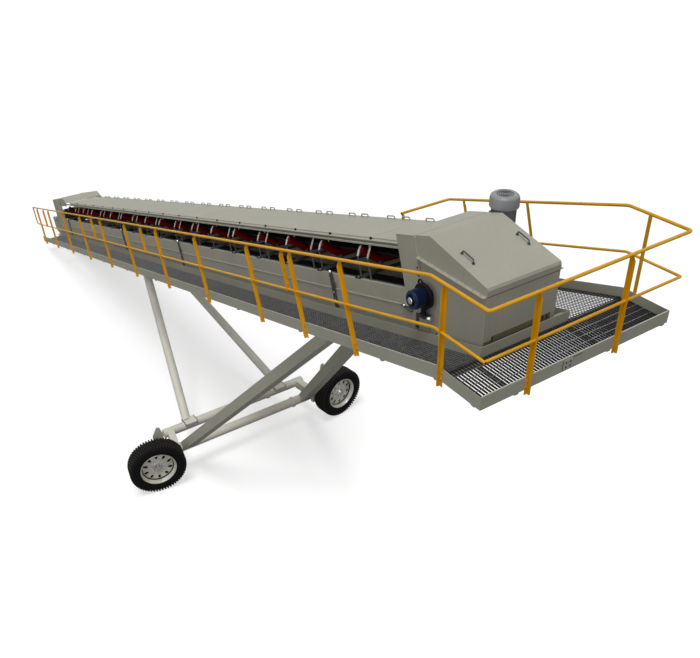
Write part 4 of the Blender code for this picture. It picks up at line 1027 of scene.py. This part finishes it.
# Head column: folded edges, a strip in the gap beside the hood, a row of holes drawn as black patches of
# painted shade and the hood's hinge barrel
GAP_U = (U_HOOD + 0.0005, U_HOOD + 0.0135)
GAP_Y = (0.520, 0.5995)
GAP_N = (0.885, 1.215)
COLUMN_HOLES = 5
COLUMN_HOLE_N = 0.62
COLUMN_HOLE_STEP = 0.052
COLUMN_HOLE_H = 0.026
BARREL_U = U_HOOD + 0.012
BARREL_N = HOOD_TOP - 0.006
BARREL_Y = BODY_Y - 0.02
BARREL_R = 0.0055
column = Piece()
holes_row = Piece()
for side, sign in SIDES:
    face = on_side(sign, STRINGER_Y + 0.0003, STRINGER_Y + 0.006)
    for edge in (U_HEAD_COLUMN + 0.002, U_HOOD - 0.062):
        column.block((edge, edge + 0.018), face, (STRINGER_TOP + 0.01, HOOD_TOP - 0.012), SLOPE)
    column.block(GAP_U, on_side(sign, *GAP_Y), GAP_N, SLOPE)
    dots = on_side(sign, STRINGER_Y + 0.0002, STRINGER_Y + 0.0022)
    for k in range(COLUMN_HOLES):
        n = COLUMN_HOLE_N + COLUMN_HOLE_STEP * k
        holes_row.block((U_HOOD - 0.036, U_HOOD - 0.012), dots, (n, n + COLUMN_HOLE_H), SLOPE)
column.rod(on_slope(BARREL_U, -BARREL_Y, BARREL_N), on_slope(BARREL_U, BARREL_Y, BARREL_N), BARREL_R, 14)
column.done("column_folds", PAINT)
holes_row.done("column_hole_shade", BLACK)

# Discharge box: bolts along the top seams and on the foot flange, the front's band of painted shade at its
# foot, its marks, seam line and slots of painted shade
SEAM_BOLTS = 9
SEAM_X = (21.93, BOX_FRONT - 0.07)
SEAM_Y = BODY_Y + 0.030
SEAM_BOLT = (0.0085, 0.008, 0.005)
FAR_SEAM_X = 22.20
BAND_FACE = BOX_FRONT + 0.004
MARK_FACE = BOX_FRONT + 0.010
BAND_LOW = 7.660
BAND_HIGH = 7.765
BAND_STEP_Y = -0.455
BAND_STEP_Z = 7.718
BAND_FAR_Y = 0.50
MARK_Y = (-0.448, 0.37, 0.44)
MARK_HALF = 0.006
MARK_LOW = 7.700
LINE_Y = BODY_Y - 0.002
SLOT_Y = (-0.040, 0.010)
SLOT_WIDE = 0.030
SLOT_Z = (7.620, 7.665)
FLANGE_BOLTS = 7
FLANGE_Y = BODY_Y + 0.015
chute = Piece()
chute_bolts = Piece()
chute_dark = Piece()
for k in range(SEAM_BOLTS):
    x = SEAM_X[0] + (SEAM_X[1] - SEAM_X[0]) * k / (SEAM_BOLTS - 1)
    chute_bolts.bolt((x, -SEAM_Y, BOX_TOP + 0.0002), UP, *SEAM_BOLT)
    if x > FAR_SEAM_X:
        chute_bolts.bolt((x, SEAM_Y, BOX_TOP + 0.0002), UP, *SEAM_BOLT)
box_face = BOX_FRONT + 0.0002
# Band along the front's foot: painted shade
chute.box((box_face, BAND_STEP_Y, BAND_LOW), (BAND_FACE, BAND_FAR_Y, BAND_HIGH))
chute.box((box_face, -BODY_Y + 0.003, BAND_LOW), (BAND_FACE, BAND_STEP_Y, BAND_STEP_Z))
for y in MARK_Y:
    chute_dark.box((BAND_FACE, y - MARK_HALF, MARK_LOW), (MARK_FACE, y + MARK_HALF, BAND_HIGH - 0.004))
chute_dark.box((box_face, -LINE_Y, BOX_TOP - 0.010), (BOX_FRONT + 0.0016, LINE_Y, BOX_TOP - 0.002))
# Slots in the toe plate: black patches of painted shade
for y in SLOT_Y:
    chute_dark.block((TOE_X + 0.0003, TOE_X + 0.0015), (y, y + SLOT_WIDE), SLOT_Z)
for k in range(FLANGE_BOLTS):
    y = -FLANGE_Y + 2.0 * FLANGE_Y * k / (FLANGE_BOLTS - 1)
    chute_bolts.bolt((BOX_FRONT + 0.025, y, BOX_LOW + 0.001), UP, 0.009, 0.008, 0.005)
chute.done("chute_shade_band", SHADE_OLIVE)
chute_dark.done("chute_marks_seam_and_slot_shade", BLACK)
chute_bolts.done("chute_bolts", BOLT)

# Handles on the hood: round bows on welded feet
HOOD_AT = Vector((22.575, 0.0, 8.5517))
HOOD_LEAN = math.atan2(0.238, 1.03)
HOOD_HANDLE_Y = 0.437
HOOD_HANDLE = (0.105, 0.048, 0.0095)
hood_handles = Piece()
hood_slope = Matrix.Translation(HOOD_AT) @ Matrix.Rotation(HOOD_LEAN, 4, "Y")
for y in (-HOOD_HANDLE_Y, HOOD_HANDLE_Y):
    bow_handle(hood_handles, hood_slope, (0.0, y, 0.003), *HOOD_HANDLE)
hood_handles.done("hood_handles", DARK, body="hood")

# Joint plate on the front fascia; its holes, a slot beside it and a shadow along its near edge are black
# patches of painted shade
FASCIA_FACE = PLATFORM_X + 0.0003
JOINT_Y = (-0.045, 0.105)
JOINT_Z = (7.545, 7.678)
JOINT_HOLE_Y = (0.000, 0.068)
JOINT_HOLE_Z = (7.580, 7.640)
JOINT_HOLE_R = 0.013
JOINT_SLOT_Z = (7.672, 7.680)
JOINT_SLOT_Y = (JOINT_Y[1], 0.26)
JOINT_SHADOW_Y = (-0.050, JOINT_Y[0])
joint = Piece()
joint_shade = Piece()
joint.block((FASCIA_FACE, FASCIA_FACE + 0.006), JOINT_Y, JOINT_Z)
for y in JOINT_HOLE_Y:
    for z in JOINT_HOLE_Z:
        joint_shade.rod((FASCIA_FACE + 0.0055, y, z), (FASCIA_FACE + 0.0068, y, z), JOINT_HOLE_R, 14)
joint_shade.block((FASCIA_FACE, FASCIA_FACE + 0.001), JOINT_SLOT_Y, JOINT_SLOT_Z)
joint_shade.block((FASCIA_FACE, FASCIA_FACE + 0.003), JOINT_SHADOW_Y, JOINT_Z)
joint.done("joint_plate", PAINT)
joint_shade.done("joint_plate_shade", BLACK)

# Rolled top edges of the walkway's and the platform's fascias, drawn as pale strips of painted highlight
EDGE_N = (-0.012, -0.0005)
EDGE_IN = (0.0085, 0.018)
edges = Piece()
edges.block((U_WALK_TAIL + 0.01, -0.02), (WALK_OUT + EDGE_IN[0], WALK_OUT + EDGE_IN[1]), EDGE_N, SLOPE)
front_low = (PLATFORM_X - EDGE_IN[1], WALK_OUT + 0.02, DECK_Z + EDGE_N[0])
edges.box(front_low, (PLATFORM_X - EDGE_IN[0], FAR_OUT - 0.02, DECK_Z + EDGE_N[1]))
edges.done("fascia_edge_highlight", LIT_PAINT)

# Tail: bearing housings, side flanges, bolts, and black patches of painted shade for the openings and the
# loading slot's rim
TAIL_FLANGES = ((-23.20, 0.60, 1.10), (-22.55, 0.60, 1.18), (-21.90, 1.03, 1.22))
TAIL_OPENINGS = ((-23.05, 0.85), (-22.80, 0.95), (-22.35, 0.80), (-22.15, 1.05))
TAIL_BOLT_U = (-23.53, -23.37)
TAIL_RIM = ((-23.30, 0.452, 1.203), (-23.05, 0.470, 1.216))
tail = Piece()
tail_dark = Piece()
tail_bolts = Piece()
for side, sign in SIDES:
    at = on_slope(TAIL_PULLEY_U, 0.0, PULLEY_N)
    turn = Matrix.Translation(at) @ Matrix.Rotation(math.radians(-90.0 * sign), 4, "X")
    tail.lathe([(0.05, 0.6603), (0.085, 0.6603), (0.080, 0.685), (0.055, 0.692), (0.05, 0.692)], turn, 36)
    wall = on_side(sign, STRINGER_Y + 0.0003, STRINGER_Y + 0.022)
    for a, low, high in TAIL_FLANGES:
        tail.block((a, a + 0.030), wall, (low, high), SLOPE)
    dots = on_side(sign, STRINGER_Y + 0.0002, STRINGER_Y + 0.003)
    for a, n in TAIL_OPENINGS:
        tail_dark.block((a, a + 0.060), dots, (n, n + 0.045), SLOPE)
    for a in TAIL_BOLT_U:
        tail_bolts.bolt(on_slope(a, sign * 0.661, PULLEY_N), (0.0, sign, 0.0), 0.013, 0.012, 0.008)
tail_dark.box(TAIL_RIM[0], TAIL_RIM[1], SLOPE)
tail.done("tail_trim", PAINT)
tail_dark.done("tail_opening_shade", BLACK)
tail_bolts.done("tail_bolts", BOLT)

# Undercarriage: smooth tubes and rear legs, saddles with seat plates, collars and a fin plate at each
# wheel, all in the paler paint that stands in as painted light
REAR_TUBE_X = 14.02
FRONT_TUBE_X = 14.70
TUBE_Z = 0.66
TUBE_R = 0.11
REAR_SPAN = 1.92
FRONT_SPAN = 1.86
REAR_LEG_U = -14.85
REAR_FOOT_Y = 1.30
REAR_HEAD_Y = 0.22
REAR_LEG_R = 0.105
LEG_TOP_N = -0.2203
LEG_START = 0.105
LEG_COLLAR = 0.175
SEAT_IN = 0.07
SEAT_X = (REAR_TUBE_X - 0.135, REAR_TUBE_X + 0.135)
SEAT_SPAN = 0.16
SEAT_Z = (TUBE_Z + TUBE_R - 0.012, TUBE_Z + TUBE_R + 0.008)
CHEEK_AT = 0.152
CHEEK_HALF = 0.008
CHEEK_LOW = TUBE_Z + 0.03
FIN_PLATE = ((0.055, 0.30), (0.055, 0.56), (0.165, 0.775), (0.235, 0.755), (0.289, 0.55), (0.289, 0.30))
FIN_PLATE_RUN = (-0.355, -0.341)
COLLAR_R = TUBE_R + 0.022
REAR_COLLAR_Y = (0.86, 0.92)
FRONT_COLLAR_Y = (1.22, 1.28)
for name, x, span in (("rear", REAR_TUBE_X, REAR_SPAN), ("front", FRONT_TUBE_X, FRONT_SPAN)):
    tube = Piece()
    tube.rod((x, -span, TUBE_Z), (x, span, TUBE_Z), TUBE_R, 56)
    tube.done(name + "_tube", LIT_PAINT, replaces=[name + "_cross_tube"])
carriage = Piece()
for side, sign in SIDES:
    foot = Vector((REAR_TUBE_X, sign * REAR_FOOT_Y, TUBE_Z))
    top = on_slope(REAR_LEG_U, sign * REAR_HEAD_Y, LEG_TOP_N + 0.03)
    along = (top - foot).normalized()
    leg = Piece()
    leg.rod(foot + along * LEG_START, top, REAR_LEG_R, 56)
    leg.rod(foot + along * LEG_START, foot + along * LEG_COLLAR, REAR_LEG_R + 0.012, 48)
    leg.done("rear_tube_leg_" + side, LIT_PAINT, replaces=["rear_leg_" + side])
    seat = foot.y - sign * SEAT_IN
    carriage.block(SEAT_X, (seat - SEAT_SPAN, seat + SEAT_SPAN), SEAT_Z)
    for middle in (seat - CHEEK_AT, seat + CHEEK_AT):
        carriage.block(SEAT_X, (middle - CHEEK_HALF, middle + CHEEK_HALF), (CHEEK_LOW, SEAT_Z[1]))
    yaw = Matrix.Rotation(sign * WHEEL_YAW, 4, "Z")
    wheel_place = Matrix.Translation((WHEEL_X, sign * WHEEL_Y, TYRE_R)) @ yaw
    fin_plate = [(-sign * b, c) for b, c in FIN_PLATE]
    carriage.prism(fin_plate, FIN_PLATE_RUN[0], FIN_PLATE_RUN[1], wheel_place, plane="bc")
for x, y in ((REAR_TUBE_X, REAR_COLLAR_Y), (FRONT_TUBE_X, FRONT_COLLAR_Y)):
    carriage.rod((x, y[0], TUBE_Z), (x, y[1], TUBE_Z), COLLAR_R, 48)
carriage.done("carriage_saddles", LIT_PAINT)
# The wheel mounts take the paler paint too, as painted light
for name in ("wheel_mount_near", "wheel_mount_far"):
    NODES[name].data.materials[0] = LIT_PAINT

# Floor, world and lamps; the floor's glow rises from x 3 m to x 8 m, painted light that washes out the cast
# shadows towards the head
FLOOR_SIZE = 400.0
FADE_START = 3.0
FADE_END = 8.0
GLOW_NEAR = 0.60
GLOW_FAR = 0.98
FLOOR_AT = (12.0, 0.0, -0.0015)
FLOOR_SEEN = (0.55, 0.55, 0.55, 1.0)
FLOOR_PLAIN = (0.30, 0.30, 0.30, 1.0)
WHITE = (1.0, 1.0, 1.0, 1.0)
SOFT_LIGHT = 0.28
bpy.ops.mesh.primitive_plane_add(size=FLOOR_SIZE, location=FLOOR_AT)
floor = bpy.context.object
floor.name = "floor"


def floor_material():
    made = bpy.data.materials.new("pale_floor")
    made.use_nodes = True
    tree = made.node_tree
    tree.nodes.clear()
    rays = add(tree, "LightPath")
    spot = add(tree, "TexCoord")
    split = add(tree, "SeparateXYZ", links=[(spot, "Object", "Vector")])
    # Glow that rises with x: painted light over the cast shadows away from the wheels
    limits = [("From Min", FADE_START), ("From Max", FADE_END), ("To Min", GLOW_NEAR), ("To Max", GLOW_FAR)]
    fade = add(tree, "MapRange", limits, [(split, "X", "Value")])
    fade.interpolation_type = "SMOOTHSTEP"
    glow = add(tree, "Emission", [("Color", WHITE)], [(fade, "Result", "Strength")])
    pale = add(tree, "BsdfDiffuse", [("Color", FLOOR_SEEN)])
    seen = add(tree, "AddShader", links=[(pale, "BSDF", 0), (glow, "Emission", 1)])
    plain = add(tree, "BsdfDiffuse", [("Color", FLOOR_PLAIN)])
    wires = [(rays, "Is Camera Ray", "Fac"), (plain, "BSDF", 1), (seen, "Shader", 2)]
    pick = add(tree, "MixShader", links=wires)
    add(tree, "OutputMaterial", links=[(pick, "Shader", "Surface")])
    return made


floor.data.materials.append(floor_material())


def make_world():
    world = bpy.data.worlds.new("studio")
    world.use_nodes = True
    tree = world.node_tree
    tree.nodes.clear()
    rays = add(tree, "LightPath")
    either = add(tree, "Math", links=[(rays, "Is Camera Ray", 0), (rays, "Is Glossy Ray", 1)])
    also = add(tree, "Math", links=[(either, "Value", 0), (rays, "Is Transmission Ray", 1)])
    either.operation = "MAXIMUM"
    also.operation = "MAXIMUM"
    white = add(tree, "Background", [("Color", WHITE), ("Strength", 1.0)])
    soft = add(tree, "Background", [("Color", WHITE), ("Strength", SOFT_LIGHT)])
    wires = [(also, "Value", "Fac"), (soft, "Background", 1), (white, "Background", 2)]
    pick = add(tree, "MixShader", links=wires)
    add(tree, "OutputWorld", links=[(pick, "Shader", "Surface")])
    bpy.context.scene.world = world


make_world()


def sun(name, direction, strength, spread):
    data = bpy.data.lights.new(name, "SUN")
    data.energy = strength
    data.angle = math.radians(spread)
    lamp = bpy.data.objects.new(name, data)
    bpy.context.scene.collection.objects.link(lamp)
    lamp.rotation_mode = "QUATERNION"
    lamp.rotation_quaternion = Vector(direction).to_track_quat("-Z", "Y")


sun("key", (-0.12, 0.22, -1.0), 1.6, 25.0)
sun("fill", (-0.5, 0.9, -0.35), 0.35, 60.0)

bpy.context.scene.view_settings.view_transform = "Standard"
